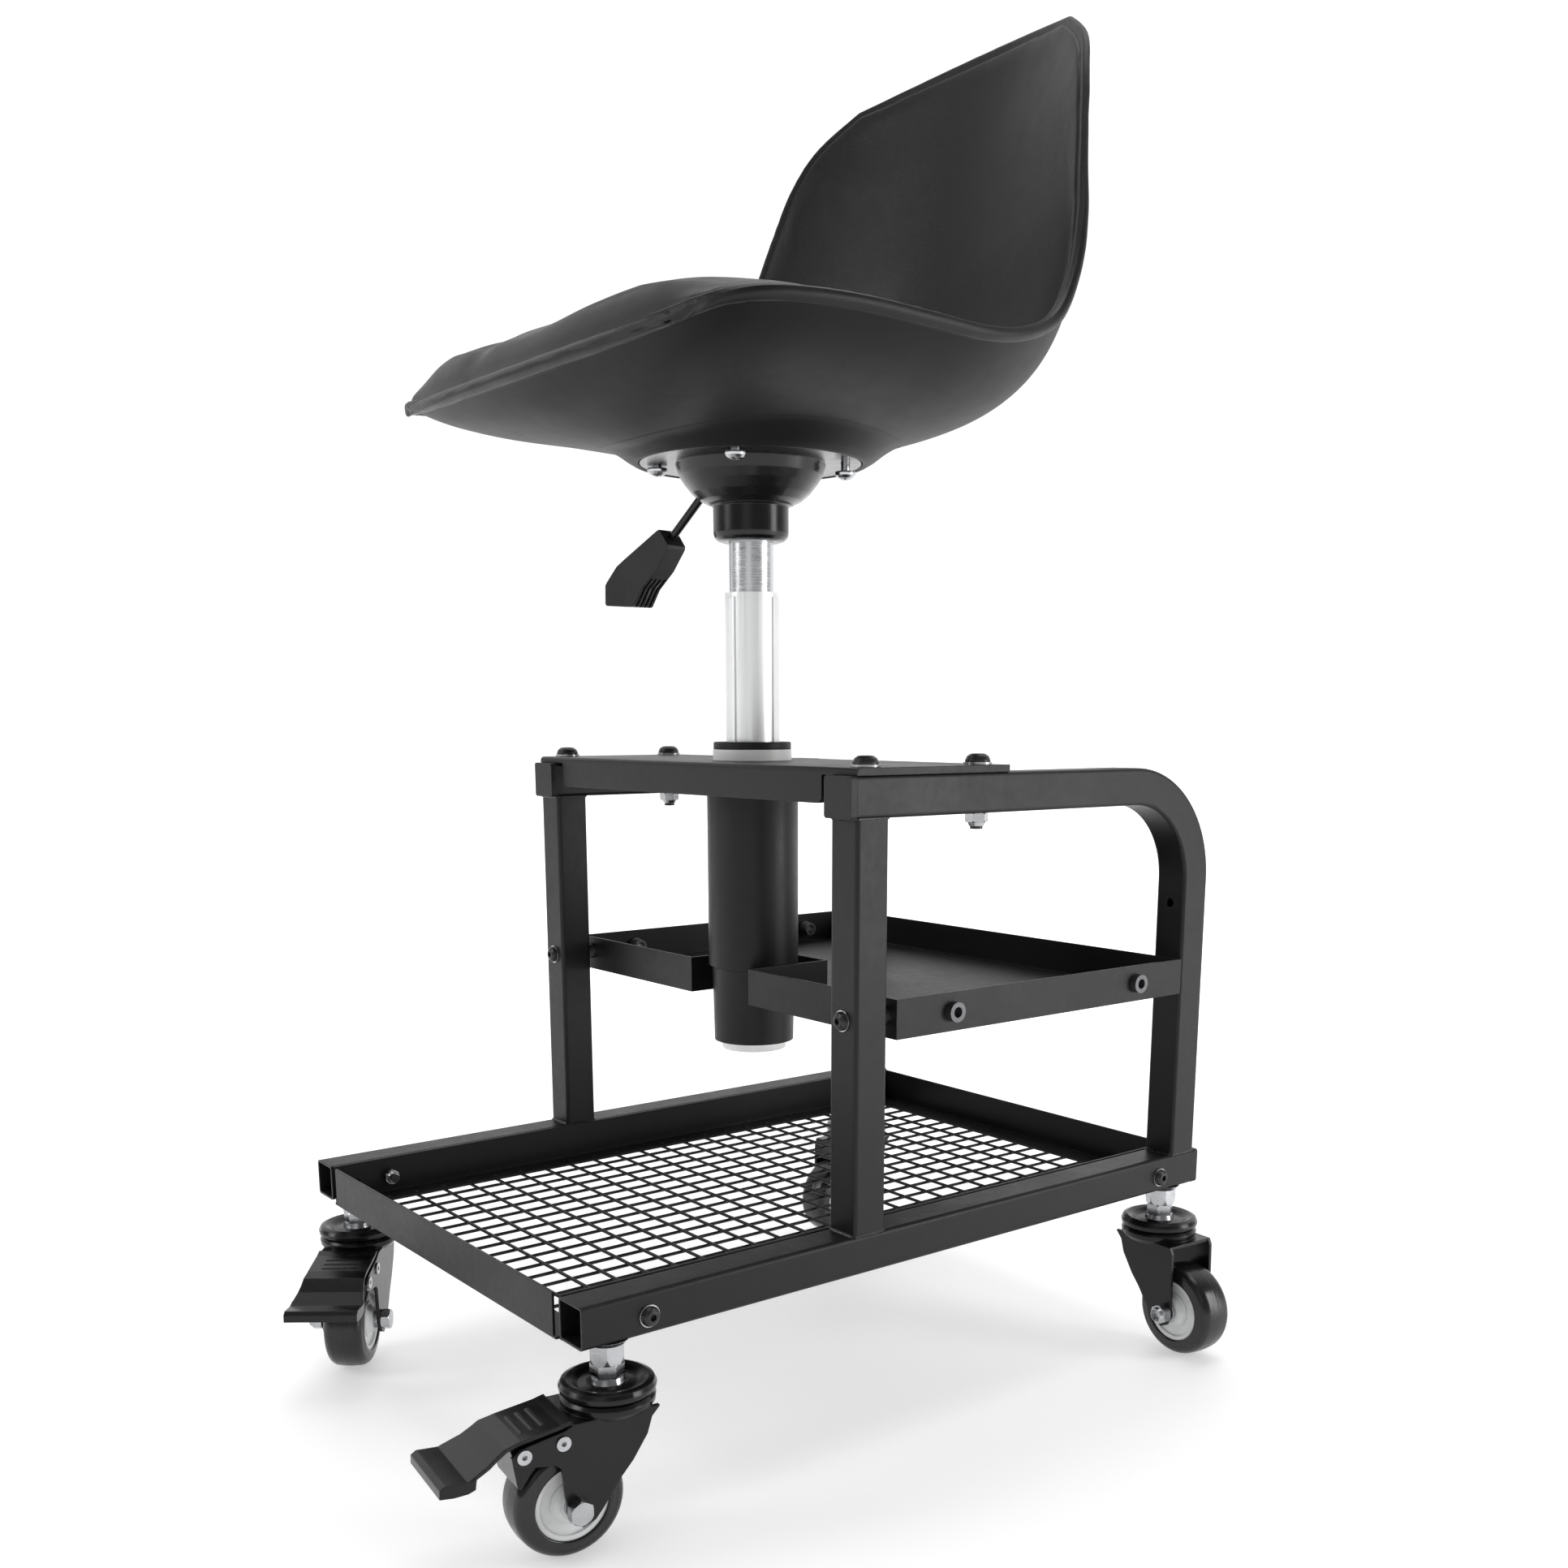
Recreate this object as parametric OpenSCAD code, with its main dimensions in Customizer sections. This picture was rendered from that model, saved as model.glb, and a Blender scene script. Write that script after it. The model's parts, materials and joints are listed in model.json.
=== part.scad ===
// Rolling workshop stool: bucket seat on a gas lift, tube frame, two trays, four swivel castors.
// Millimetres. +Z up, floor at z = 0, lift column axis at x = y = 0, front of the stool towards -Y.

/* [Frame] */
// Side of the square frame tube
tube = 25; // [22:0.5:26]
// Wall of the square frame tube
wall = 1.5; // [1.2:0.1:2]
// Overall width over the two rails
frame_w = 375; // [360:1:400]
// Front end of the rails (distance ahead of the column axis)
rail_front = 255; // [250:1:270]
// Rear end of the rails (distance behind the column axis)
rail_rear = 265; // [262:1:280]
// Underside of the rails above the floor
rail_z = 121; // [119:1:124]
// Top of the upper tubes above the floor
top_z = 426; // [420:1:440]
// Centre line radius of the bend at the back of the upper tubes
bend_r = 67; // [55:1:75]

/* [Top plate and column] */
// Thickness of the top plate
plate_t = 4.5; // [3:0.1:5]
// Length of the top plate front to back
plate_l = 125; // [120:1:130]
// Outer diameter of the column tube
col_d = 63.5; // [62:0.5:65]
// Lower end of the column tube
col_z = 288; // [280:1:292]

/* [Trays] */
// Underside of the middle tray
tray_z = 266; // [262:1:272]
// Height of the middle tray's flanges
tray_h = 25; // [20:1:28]
// Sheet thickness of both trays
sheet = 1.5; // [1:0.1:2]
// Pitch of the mesh wires across the stool
mesh_px = 17.6; // [16:0.1:20]
// Pitch of the mesh wires along the stool
mesh_py = 21.3; // [20:0.1:25]
// Radius of a mesh wire
wire_r = 1.1; // [0.9:0.05:1.2]

/* [Seat] */
// Radius of the chrome gas cylinder
cyl_r = 15; // [14.5:0.1:15.1]
// Stroke of the gas lift
lift_stroke = 95; // [60:1:95]
// Thickness of the seat shell
shell_t = 4.5; // [4:0.25:4.5]

/* [Castors] */
// Wheel radius
wheel_r = 33.25; // [32:0.25:33.5]
// Wheel tread half width
tread_hw = 14; // [13:0.25:14]
// Trail of the wheel axle behind the swivel axis
trail = 28.5; // [28:0.5:28.5]
// Swivel angle of the front left castor as it stands
swivel_fl = 53; // [-180:1:180]
// Swivel angle of the front right castor as it stands
swivel_fr = -7; // [-180:1:180]
// Swivel angle of the rear left castor as it stands
swivel_rl = 8; // [-180:1:180]
// Swivel angle of the rear right castor as it stands
swivel_rr = 86; // [-180:1:180]

/* [Hidden] */
$fn = 48;
rx = frame_w/2 - tube/2;          // rail centre line
cy_front = -232.5;                  // castor stem positions
cy_rear = 245;
post_y = -62.5;                   // front face of the posts
leg_y = rail_rear - tube;         // front face of the rear legs
plate_z = top_z;                  // underside of the top plate
plate_top = top_z + plate_t;
bolt_py = 46;                     // top plate bolts
tray_y0 = -30;                    // front flange face of the middle tray
tray_y1 = leg_y;
tray_top = tray_z + tray_h;
tray_bolt_z = tray_z + 14;
low_z = 119.2;                      // underside of the lower tray
low_top = rail_z + tube;
low_hw = frame_w/2 - tube - 0.3;  // half width of the lower tray
rail_bolt_z = 132;
bolt_yf = -212;
bolt_yr = 227;
black = [0.12,0.12,0.12];
steel = [0.75,0.76,0.78];

// ---------- small helpers ----------
module rr(w,h,r) {            // rounded rectangle, centred
  square([w-2*r,h],center=true);
  square([w,h-2*r],center=true);
  for (sx=[-1,1], sy=[-1,1]) translate([sx*(w/2-r),sy*(h/2-r)]) circle(r=r,$fn=24);
}
module tube2d() { difference() { rr(tube,tube,2.6); rr(tube-2*wall,tube-2*wall,1.2); } }
module xcyl(r,x0,x1) { translate([x0,0,0]) rotate([0,90,0]) cylinder(r=r,h=x1-x0); }
module ycyl(r,y0,y1) { translate([0,y0,0]) rotate([-90,0,0]) cylinder(r=r,h=y1-y0); }
module hexp(af,h) { cylinder(r=af/sqrt(3),h=h,$fn=6); }
module hexnut(af,h) { intersection() { hexp(af,h); cylinder(r1=af/2+0.2+h*0.9,r2=af/2+0.2,h=h); cylinder(r1=af/2+0.2,r2=af/2+0.2+h*0.9,h=h); } }

// button head screw, head on +Z side of z=0, shank down to -len
module button_bolt(r,len,hr,hh) {
  difference() {
    union() {
      rotate_extrude() polygon([[0,0],[hr,0],[hr,hh*0.25],[hr*0.86,hh*0.68],[hr*0.6,hh*0.95],[hr*0.42,hh],[0,hh]]);
      translate([0,0,-len]) cylinder(r=r,h=len+0.01);
    }
    translate([0,0,hh*0.35]) hexp(r*1.35,hh);
  }
}
module nyloc(af,h,bore) {     // nut from z=0 down to -h, nylon collar at the free end
  difference() {
    union() {
      translate([0,0,-h*0.72]) hexnut(af,h*0.72);
      translate([0,0,-h]) cylinder(r1=af*0.36,r2=af*0.44,h=h*0.28+0.01);
    }
    translate([0,0,-h-1]) cylinder(r=bore,h=h+2);
  }
}

// ---------- frame ----------
module rail(s) {
  color(black) difference() {
    translate([s*rx,-rail_front,rail_z+tube/2]) rotate([-90,0,0]) linear_extrude(rail_front+rail_rear) tube2d();
    for (y=[bolt_yf,bolt_yr]) translate([s*rx,y,rail_bolt_z]) xcyl(3.3,-tube,tube);
    for (y=[cy_front,cy_rear]) translate([s*rx,y,rail_z-1]) cylinder(r=6.3,h=5);
  }
}
module rail_left() rail(-1);
module rail_right() rail(1);

module post(s) {
  color(black) difference() {
    translate([s*rx,post_y+tube/2,rail_z+tube]) linear_extrude(top_z-tube-rail_z-tube) tube2d();
    translate([s*rx,post_y+tube/2,tray_bolt_z]) ycyl(3.3,-tube,tube);
  }
}
module post_left() post(-1);
module post_right() post(1);

module arch(s) {
  ro = bend_r+tube/2;
  color(black) difference() {
    translate([s*rx,0,0]) union() {
      translate([0,post_y,top_z-tube/2]) rotate([-90,0,0]) linear_extrude(rail_rear-ro-post_y) tube2d();
      translate([0,rail_rear-ro,top_z-ro]) rotate([0,90,0]) rotate([0,0,90]) rotate_extrude(angle=90,$fn=64) translate([bend_r,0]) tube2d();
      translate([0,rail_rear-tube/2,rail_z+tube]) linear_extrude(top_z-ro-rail_z-tube) tube2d();
    }
    for (y=[-bolt_py,bolt_py]) translate([s*rx,y,top_z-tube-1]) cylinder(r=4.2,h=tube+2);
    translate([s*rx,leg_y+tube/2,tray_bolt_z]) ycyl(3.3,-tube,tube);
    translate([s*rx,leg_y,330]) ycyl(3.2,-1,wall+1);
  }
}
module arch_left() arch(-1);
module arch_right() arch(1);

module cap_plug() {            // flange towards -Z, plug up into the tube
  translate([0,0,-5]) linear_extrude(5) rr(tube,tube,2.2);
  linear_extrude(12) rr(tube-2*wall-0.2,tube-2*wall-0.2,1.2);
}
module end_caps() {
  color([0.2,0.2,0.2]) for (s=[-1,1]) {
    translate([s*rx,post_y,top_z-tube/2]) rotate([-90,0,0]) cap_plug();
    translate([s*rx,rail_rear,rail_z+tube/2]) rotate([90,0,0]) cap_plug();
  }
}

module bead_square(x,y,z,up) { // fillet weld frame around a 25 mm tube
  translate([x,y,z]) mirror([0,0,up?0:1]) difference() {
    linear_extrude(2.4,scale=0.9) square(tube+3.4,center=true);
    translate([0,0,-1]) linear_extrude(5) square(tube+0.04,center=true);
  }
}
module weld_beads() {
  color(black) {
    for (s=[-1,1]) {
      intersection() {
        union() {
          bead_square(s*rx,post_y+tube/2,rail_z+tube,true);
          bead_square(s*rx,rail_rear-tube/2,rail_z+tube,true);
        }
        translate([s*rx-tube/2-0.3,-200,rail_z]) cube([tube+0.6,rail_rear+200+1.6,60]);
      }
      intersection() {
        bead_square(s*rx,post_y+tube/2,top_z-tube,false);
        translate([s*rx-tube/2-0.3,post_y-1.6,top_z-tube-10]) cube([tube+0.6,60,12]);
      }
    }
    translate([0,0,col_z-2.2]) rotate_extrude() polygon([[29.25,0],[31.2,1],[31.6,2.1],[29.25,2.1]]);
    translate([0,0,plate_z-3]) rotate_extrude() polygon([[col_d/2+0.03,0],[col_d/2+3.2,2.96],[col_d/2+0.03,2.96]]);
  }
}

// ---------- top plate ----------
module top_plate() {
  lipw = 154; r = 5;
  color(black) difference() {
    union() {
      translate([-frame_w/2+0.5,-plate_l/2,plate_z+0.02]) cube([frame_w-1,plate_l,plate_t-0.02]);
      translate([-lipw,-plate_l/2,409+r]) cube([2*lipw,plate_t,plate_z-409-r+1]);
      translate([-lipw+r,-plate_l/2,409]) cube([2*lipw-2*r,plate_t,20]);
      for (s=[-1,1]) translate([s*(lipw-r),-plate_l/2,409+r]) ycyl(r,0,plate_t);
    }
    translate([0,0,plate_z-1]) cylinder(r=25.1,h=plate_t+2);
    for (sx=[-1,1], y=[-bolt_py,bolt_py]) translate([sx*rx,y,plate_z-1]) cylinder(r=4.2,h=plate_t+2);
    // bend radius along the front edge
    translate([0,-plate_l/2,plate_top]) difference() {
      translate([-lipw-40,-1,-3]) cube([2*lipw+80,4,4]);
      translate([0,3,-3]) xcyl(3,-lipw-41,lipw+41);
    }
  }
}
module plate_bolts() {
  color(black) for (sx=[-1,1], y=[-bolt_py,bolt_py]) translate([sx*rx,y,plate_top+1.62]) button_bolt(4,plate_t+tube+12,8,5.2);
}
module washers() {
  color(steel) {
    for (sx=[-1,1], y=[-bolt_py,bolt_py]) translate([sx*rx,y,plate_top+0.01]) difference() { cylinder(r=9,h=1.6); translate([0,0,-1]) cylinder(r=4.1,h=4); }
    for (s=[-1,1]) translate([s*rx,post_y-1.01,tray_bolt_z]) difference() { ycyl(6.6,0,1); ycyl(3.1,-1,3); }
    for (s=[-1,1], y=[bolt_yf,bolt_yr]) translate([s*(frame_w/2+0.01),y,rail_bolt_z]) mirror([s<0?1:0,0,0]) difference() { xcyl(6.6,0,1); xcyl(3.1,-1,3); }
    for (s=[-1,1]) translate([s*rx,rail_rear+0.01,tray_bolt_z]) difference() { ycyl(6.6,0,1); ycyl(3.1,-1,3); }
  }
}
module plate_nuts() {
  color(steel) for (sx=[-1,1], y=[-bolt_py,bolt_py]) translate([sx*rx,y,top_z-tube-0.02]) nyloc(13,8.5,4.02);
}

// ---------- column ----------
module column_tube() {
  color(black) translate([0,0,col_z]) difference() {
    cylinder(r=col_d/2,h=plate_z-col_z,$fn=72);
    translate([0,0,-1]) cylinder(r=29.4,h=plate_z-col_z+2,$fn=72);
  }
}
module column_lower() {
  color(black) difference() {
    union() {
      translate([0,0,234]) cylinder(r1=28.2,r2=29.2,h=col_z-234,$fn=72);
      translate([0,0,col_z-0.01]) cylinder(r=29.2,h=14,$fn=72);
    }
    translate([0,0,233]) cylinder(r=26.4,h=80,$fn=72);
  }
}
module bush_bore(extra) {
  union() {
    circle(r=17.9+extra,$fn=72);
    for (a=[-90,30,150]) rotate(a) intersection() {
      circle(r=19+extra,$fn=72);
      polygon([[0,0],[30*cos(15+extra),-30*sin(15+extra)],[30*cos(15+extra),30*sin(15+extra)]]);
    }
  }
}
module nylon_bush() {
  color([0.92,0.92,0.9]) difference() {
    union() {
      translate([0,0,plate_top+0.02]) cylinder(r=27.2,h=7.4,$fn=72);
      translate([0,0,366]) cylinder(r=24.9,h=plate_top-366+1,$fn=72);
    }
    translate([0,0,365]) linear_extrude(90) bush_bore(0.32);
  }
}
module top_ring() {
  color([0.1,0.1,0.1]) translate([0,0,plate_top+7.45]) difference() {
    rotate_extrude($fn=72) polygon([[20,0],[26.4,0],[26.8,0.5],[26.8,4.2],[26.2,5],[20,5]]);
  }
}
module column_cap() {
  color([0.93,0.93,0.92]) rotate_extrude($fn=72) polygon([[0,227.8],[22.2,227.8],[23,228.6],[23,233.95],[26.3,233.95],[26.3,241],[23.5,241],[23.5,237],[21,234.5],[21,231],[0,231]]);
}
module rod_seat() {            // base plate, thrust washers and retaining clip at the foot of the rod
  color(steel) {
    translate([0,0,246]) difference() { cylinder(r=26.3,h=3); translate([0,0,-1]) cylinder(r=5.2,h=6); }
    translate([0,0,249.05]) difference() { cylinder(r=11,h=1.2); translate([0,0,-1]) cylinder(r=5.15,h=4); }
    translate([0,0,243.9]) difference() { cylinder(r=9,h=1.4); translate([0,0,-1]) cylinder(r=5.02,h=4); }
  }
}
module piston_rod() {
  color(steel) {
    translate([0,0,239]) cylinder(r=5,h=129);
    translate([0,0,367.9]) cylinder(r=cyl_r-1.6-0.08,h=9);
  }
}

// ---------- moving lift parts ----------
module guide_tube() {
  color([0.82,0.83,0.84]) difference() {
    union() {
      translate([0,0,350]) cylinder(r=17.9,h=192,$fn=72);
      translate([0,0,350]) linear_extrude(188.6) bush_bore(0);
    }
    translate([0,0,349]) cylinder(r=cyl_r+0.4,h=194,$fn=72);
  }
}
module gas_cylinder() {
  color([0.85,0.86,0.88]) difference() {
    union() {
      translate([0,0,350]) cylinder(r=cyl_r,h=226,$fn=72);
      translate([0,0,575.99]) cylinder(r1=cyl_r-0.3,r2=cyl_r-1.5,h=26,$fn=72);
    }
    translate([0,0,349]) cylinder(r=cyl_r-1.6,h=240,$fn=72);
    translate([0,0,580]) cylinder(r=4.3,h=30);
  }
}
module cylinder_gland() {
  color([0.2,0.2,0.2]) translate([0,0,350.5]) difference() {
    cylinder(r=cyl_r-1.65,h=12);
    translate([0,0,-1]) cylinder(r=5.06,h=14);
  }
}
module valve_pin() {
  color(steel) translate([0,0,589.5]) { cylinder(r=4.24,h=13); translate([0,0,12.99]) cylinder(r1=3.4,r2=2.6,h=9.5); }
}
module seat_hub() {
  color([0.06,0.06,0.06]) difference() {
    rotate_extrude($fn=72) polygon([[0,575],[19.8,575],[22.6,575.9],[24.6,577.8],[25.4,580.6],[25.4,597.4],[27.2,598.6],[26.4,601.2],[0,601.2]]);
    translate([0,0,574]) cylinder(r=cyl_r+0.05,h=2.02,$fn=72);
    translate([0,0,576]) cylinder(r1=cyl_r-0.27,r2=cyl_r-1.47,h=26,$fn=72);
  }
}
module seat_dish() {
  zt = 628;
  color([0.06,0.06,0.06]) difference() {
    union() {
      rotate_extrude($fn=72) polygon([[26.5,601.3],[29.5,599.6],[34,601.6],[39.5,606],[44.5,612],[48.2,617.4],[50.4,624.8],[74,624.8],[74,zt],[47.4,zt],[47.4,624],[45.6,618.4],[41.4,612.8],[37,607.9],[32.6,604.2],[28.5,602.9],[26.5,602.9]]);
    }
    // lever window
    rotate(190) translate([25,-20,603.2]) cube([24,40,14.4]);
    // screw holes
    for (a=[45:90:315]) rotate(a) translate([63.6,0,610]) cylinder(r=3.3,h=20);
  }
  // lever bracket ears on the inside of the dish
  color([0.06,0.06,0.06]) rotate(190) for (s=[-1,1]) difference() {
    translate([17.5,s*6.5-1,602.95]) cube([9,2,15]);
    translate([22,s*6.5,613.5]) ycyl(1.6,-3,3);
  }
}
module pan_screw(len) {        // head at z<0
  difference() {
    union() {
      rotate_extrude() polygon([[0,-5],[2.6,-4.9],[5,-4],[6.5,-2.4],[6.9,-1],[6.7,0],[0,0]]);
      translate([0,0,-0.01]) cylinder(r=2.95,h=len);
    }
    for (a=[0,90]) rotate(a) translate([-3,-0.6,-5.2]) cube([6,1.2,2.4]);
  }
}
module seat_screws() {
  drop = [1.6,1.2,5.6,1.4];
  color([0.85,0.86,0.88]) for (i=[0:3]) rotate(45+90*[1,2,0,3][i]) translate([63.6,0,624.8-drop[i]]) pan_screw(9.6+drop[i]);
}

// lever: in its own plane, p = distance out from the lift axis, along azimuth 190 degrees
lev_a = 39.3;
module rod_seg(p0,z0,p1,z1,r) {
  dp = p1-p0; dz = z1-z0; l = sqrt(dp*dp+dz*dz);
  translate([p0,0,z0]) rotate([0,90-atan2(dz,dp),0]) cylinder(r=r,h=l);
}
module lever_rod() {
  color([0.08,0.08,0.08]) rotate(190) {
    rod_seg(-2,615.2,38.5,615.2,2.9);
    translate([38.5,0,615.2]) sphere(r=2.9,$fn=32);
    rod_seg(38.5,615.2,88,574.7,2.9);
    translate([22,0,613.5]) ycyl(1.5,-7.4,7.4);
  }
}
// grip: its side view lies in the lever's own plane
module lever_grip() {
  color([0.13,0.13,0.13]) rotate(190) difference() {
    intersection() {
      rotate([90,0,0]) linear_extrude(20,center=true) polygon([[83,588.4],[81,588.8],[72.6,578],[73,575.6],[85,561.7],[100,550],[108.4,538.4],[110,537.8],[138,539.6],[139.4,541],[139,554],[137,556.4],[126,566.4]]);
      translate([77,0,500]) linear_extrude(120) polygon([[-8,-8.4],[40,-9.6],[63,-9],[63,9],[40,9.6],[-8,8.4]]);
    }
    rod_seg(60,597.6,90.5,572.65,3.05);
    // finger channels along the underside
    for (y=[-6.2,-2.1,2.1,6.2]) translate([0,y,0]) rotate([90,0,0]) linear_extrude(2.2,center=true) polygon([[94,557],[102.4,551],[110.6,540.6],[112,536],[104,534],[90,552],[88,556]]);
  }
}

// ---------- seat shell and pad ----------
// control stations from the front edge to the top of the back:
// centre line [y,z] and edge [x,y,z]
st_c = [[-179,665],[-168,656],[-147,643],[-110,634.5],[-60,633.2],[0,633.2],[52,635],[98,645],[134,664],[157,694],[170,730],[177,770],[184,812],[190,850],[195,886],[198,917]];
st_e = [[170,-167,671],[188,-158,674.5],[198,-141,678],[202,-112,680.5],[204,-72,681.5],[204,-26,680.5],[202,20,680],[197,56,686],[189,86,700],[183,105,726],[176,119,760],[168,129,790],[159,139,824],[149.5,149,856],[135,163,884],[106,181,907]];
nst = len(st_c)-1;
function cr(a,b,c,d,t) = 0.5*((2*b)+(c-a)*t+(2*a-5*b+4*c-d)*t*t+(3*b-a-3*c+d)*t*t*t);
function at(l,v) = let(s=min(max(v,0),1)*nst, i=min(floor(s),nst-1), t=s-i) cr(l[max(i-1,0)],l[i],l[i+1],l[min(i+2,nst)],t);
function shape(x) = 0.62*(sqrt(x*x+0.05)-sqrt(0.05))/(sqrt(1.05)-sqrt(0.05))+0.38*pow(x,8);
function mix(a,b,t) = a+(b-a)*t;
function surf(u,v) = let(c=at(st_c,v), e=at(st_e,v), g=sin(78*u)/sin(78), x=abs(g), f=mix(mix(mix(x*x,shape(x),ss(0,0.16,v)),pow(x,3.4),ss(0.26,0.5,v)),x*x,ss(0.6,0.75,v))) [e[0]*g, c[0]+(e[1]-c[0])*f, c[1]+(e[2]-c[1])*f];
function unit(a) = a/norm(a);
function nrm(u,v) = let(h=0.01, du=surf(min(u+h,1),v)-surf(max(u-h,-1),v), dv=surf(u,min(v+h,1))-surf(u,max(v-h,0))) unit(cross(du,dv));
// solid between two offsets of the seat surface
module sheet_solid(u0,u1,v0,v1,nu,nv,lo,hi) {
  P = [for (k=[0,1], j=[0:nv], i=[0:nu]) let(u=u0+(u1-u0)*i/nu, v=v0+(v1-v0)*j/nv) surf(u,v)+nrm(u,v)*(k==0?lo(u,v):hi(u,v))];
  skin(P,nu,nv);
}
module skin(P,nu,nv) {
  m = nu+1; q = (nu+1)*(nv+1);
  F = concat(
    [for (j=[0:nv-1], i=[0:nu-1]) each [[j*m+i,j*m+i+1,(j+1)*m+i+1],[j*m+i,(j+1)*m+i+1,(j+1)*m+i]]],
    [for (j=[0:nv-1], i=[0:nu-1]) each [[q+j*m+i,q+(j+1)*m+i+1,q+j*m+i+1],[q+j*m+i,q+(j+1)*m+i,q+(j+1)*m+i+1]]],
    [for (i=[0:nu-1]) each [[i,q+i,q+i+1],[i,q+i+1,i+1]]],
    [for (i=[0:nu-1]) each [[nv*m+i,nv*m+i+1,q+nv*m+i+1],[nv*m+i,q+nv*m+i+1,q+nv*m+i]]],
    [for (j=[0:nv-1]) each [[j*m,(j+1)*m,q+(j+1)*m],[j*m,q+(j+1)*m,q+j*m]]],
    [for (j=[0:nv-1]) each [[j*m+nu,q+j*m+nu,q+(j+1)*m+nu],[j*m+nu,q+(j+1)*m+nu,(j+1)*m+nu]]]);
  polyhedron(P,F,convexity=8);
}
function ss(a,b,x) = let(t=min(max((x-a)/(b-a),0),1)) t*t*(3-2*t);
function shell_lo(u,v) = -shell_t-max(3.5*ss(0.9,0.96,abs(u))*ss(0.75,0.6,v),6.5*ss(0.045,0.015,v));
module seat_shell() {
  color([0.1,0.1,0.1]) sheet_solid(-1,1,0,1,26,38,function(u,v) shell_lo(u,v),function(u,v) 0);
}
module seat_boss() {
  color([0.1,0.1,0.1]) rotate_extrude($fn=72) polygon([[74.8,624.6],[77.4,624.3],[79,625],[84.6,628.2],[74.8,628.2]]);
}
// top of the cushion above the floor, by place
function pad_z(x,y) = let(a=abs(x))
  (y<-110 ? 694-2.8*pow((-110-y)/28,2) : mix(694,660,ss(-110,60,y)))
  + (2.7*exp(-pow((a-78)/47,2)) - 2.5*exp(-pow((a-60)/16,2)))*ss(20,-80,y)
  + 1.3*ss(80,130,a) - 11.5*ss(130,190,a) - 1.5*x/160*ss(0,-130,y) - 15.4*ss(100,170,a)*ss(-100,-20,y);
function pad_h(u,v) = let(q=surf(u,v), a=abs(u)/0.93, e=sqrt(max(1-pow(a,9),0)), f=sqrt(max(1-pow(1-min((v-0.012)/0.07,1),2),0)), b=ss(0.63,0.5,v))
  1+e*f*b*max(pad_z(q[0],q[1])-q[2]-1,3);
module seat_pad() {
  color([0.07,0.07,0.07]) pad_solid(-0.93,0.93,0.012,0.63,22,26);
}
module pad_solid(u0,u1,v0,v1,nu,nv) {
  P = [for (k=[0,1], j=[0:nv], i=[0:nu]) let(u=u0+(u1-u0)*i/nu, v=v0+(v1-v0)*j/nv) surf(u,v)+(k==0 ? nrm(u,v)*1.2 : nrm(u,v)*1.6+[0,0,1]*pad_h(u,v))];
  skin(P,nu,nv);
}

// ---------- trays ----------
module plate_box(x0,x1,y0,y1,z0,z1) { translate([x0,y0,z0]) cube([x1-x0,y1-y0,z1-z0]); }
module mid_tray() {
  hw = frame_w/2; nw = 34.5; nd = 37; s = sheet;
  color(black) difference() {
    union() {
      plate_box(-hw,hw,tray_y0,tray_y1,tray_z,tray_z+s);
      for (m=[0,1]) mirror([m,0,0]) {
        plate_box(hw-s,hw,tray_y0,tray_y1,tray_z,tray_top);
        plate_box(nw-0.5,hw,tray_y0,tray_y0+s,tray_z,tray_top);
        plate_box(nw,nw+s,tray_y0,nd,tray_z,tray_top);
      }
      plate_box(-nw-s,nw+s,nd-0.01,nd+s,tray_z,tray_top);
      plate_box(-hw,hw,tray_y1-s,tray_y1,tray_z,tray_top);
    }
    plate_box(-nw,nw,tray_y0-1,nd,tray_z-1,tray_top+1);
    for (sx=[-1,1]) {
      translate([sx*rx,tray_y0,tray_bolt_z]) ycyl(3.3,-3,4);
      translate([sx*rx,tray_y1,tray_bolt_z]) ycyl(3.3,-4,3);
      for (y=[17.5,192.5]) translate([sx*hw,y,tray_z+12.5]) xcyl(5.55,-4,4);
    }
  }
}
module rivet_nuts() {
  hw = frame_w/2;
  color([0.55,0.55,0.56]) for (m=[0,1]) mirror([m,0,0]) for (y=[17.5,192.5]) translate([hw,y,tray_z+12.5]) difference() {
    union() { xcyl(6.5,0.02,4.4); xcyl(5.5,-11,0.5); xcyl(6.6,-4.4,-sheet-0.02); }
    xcyl(3.4,-12,5);
  }
}
module frame_bolts() {
  color(black) {
    for (s=[-1,1]) translate([s*rx,post_y-1.03,tray_bolt_z]) rotate([90,0,0]) button_bolt(3,48,5.9,3.6);
    for (s=[-1,1]) translate([s*rx,rail_rear+1.03,tray_bolt_z]) rotate([-90,0,0]) button_bolt(3,38,5.9,3.6);
    for (m=[0,1]) mirror([m,0,0]) for (y=[bolt_yf,bolt_yr]) translate([frame_w/2+1.03,y,rail_bolt_z]) rotate([0,90,0]) button_bolt(3,38,5.9,3.6);
  }
}
module frame_nuts() {
  color(steel) {
    for (s=[-1,1]) translate([s*rx,tray_y0+sheet+0.03,tray_bolt_z]) rotate([90,0,0]) nyloc(10,6.5,3.02);
    for (s=[-1,1]) translate([s*rx,tray_y1-sheet-0.03,tray_bolt_z]) rotate([-90,0,0]) nyloc(10,6.5,3.02);
    for (m=[0,1]) mirror([m,0,0]) for (y=[bolt_yf,bolt_yr]) translate([low_hw-sheet-0.03,y,rail_bolt_z]) rotate([0,90,0]) nyloc(10,6.5,3.02);
  }
}
module tray_spacers() {
  color(steel) for (s=[-1,1]) translate([s*rx,post_y+tube+0.03,tray_bolt_z]) difference() { ycyl(6,0,tray_y0-post_y-tube-0.06); ycyl(3.1,-1,20); }
}
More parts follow.
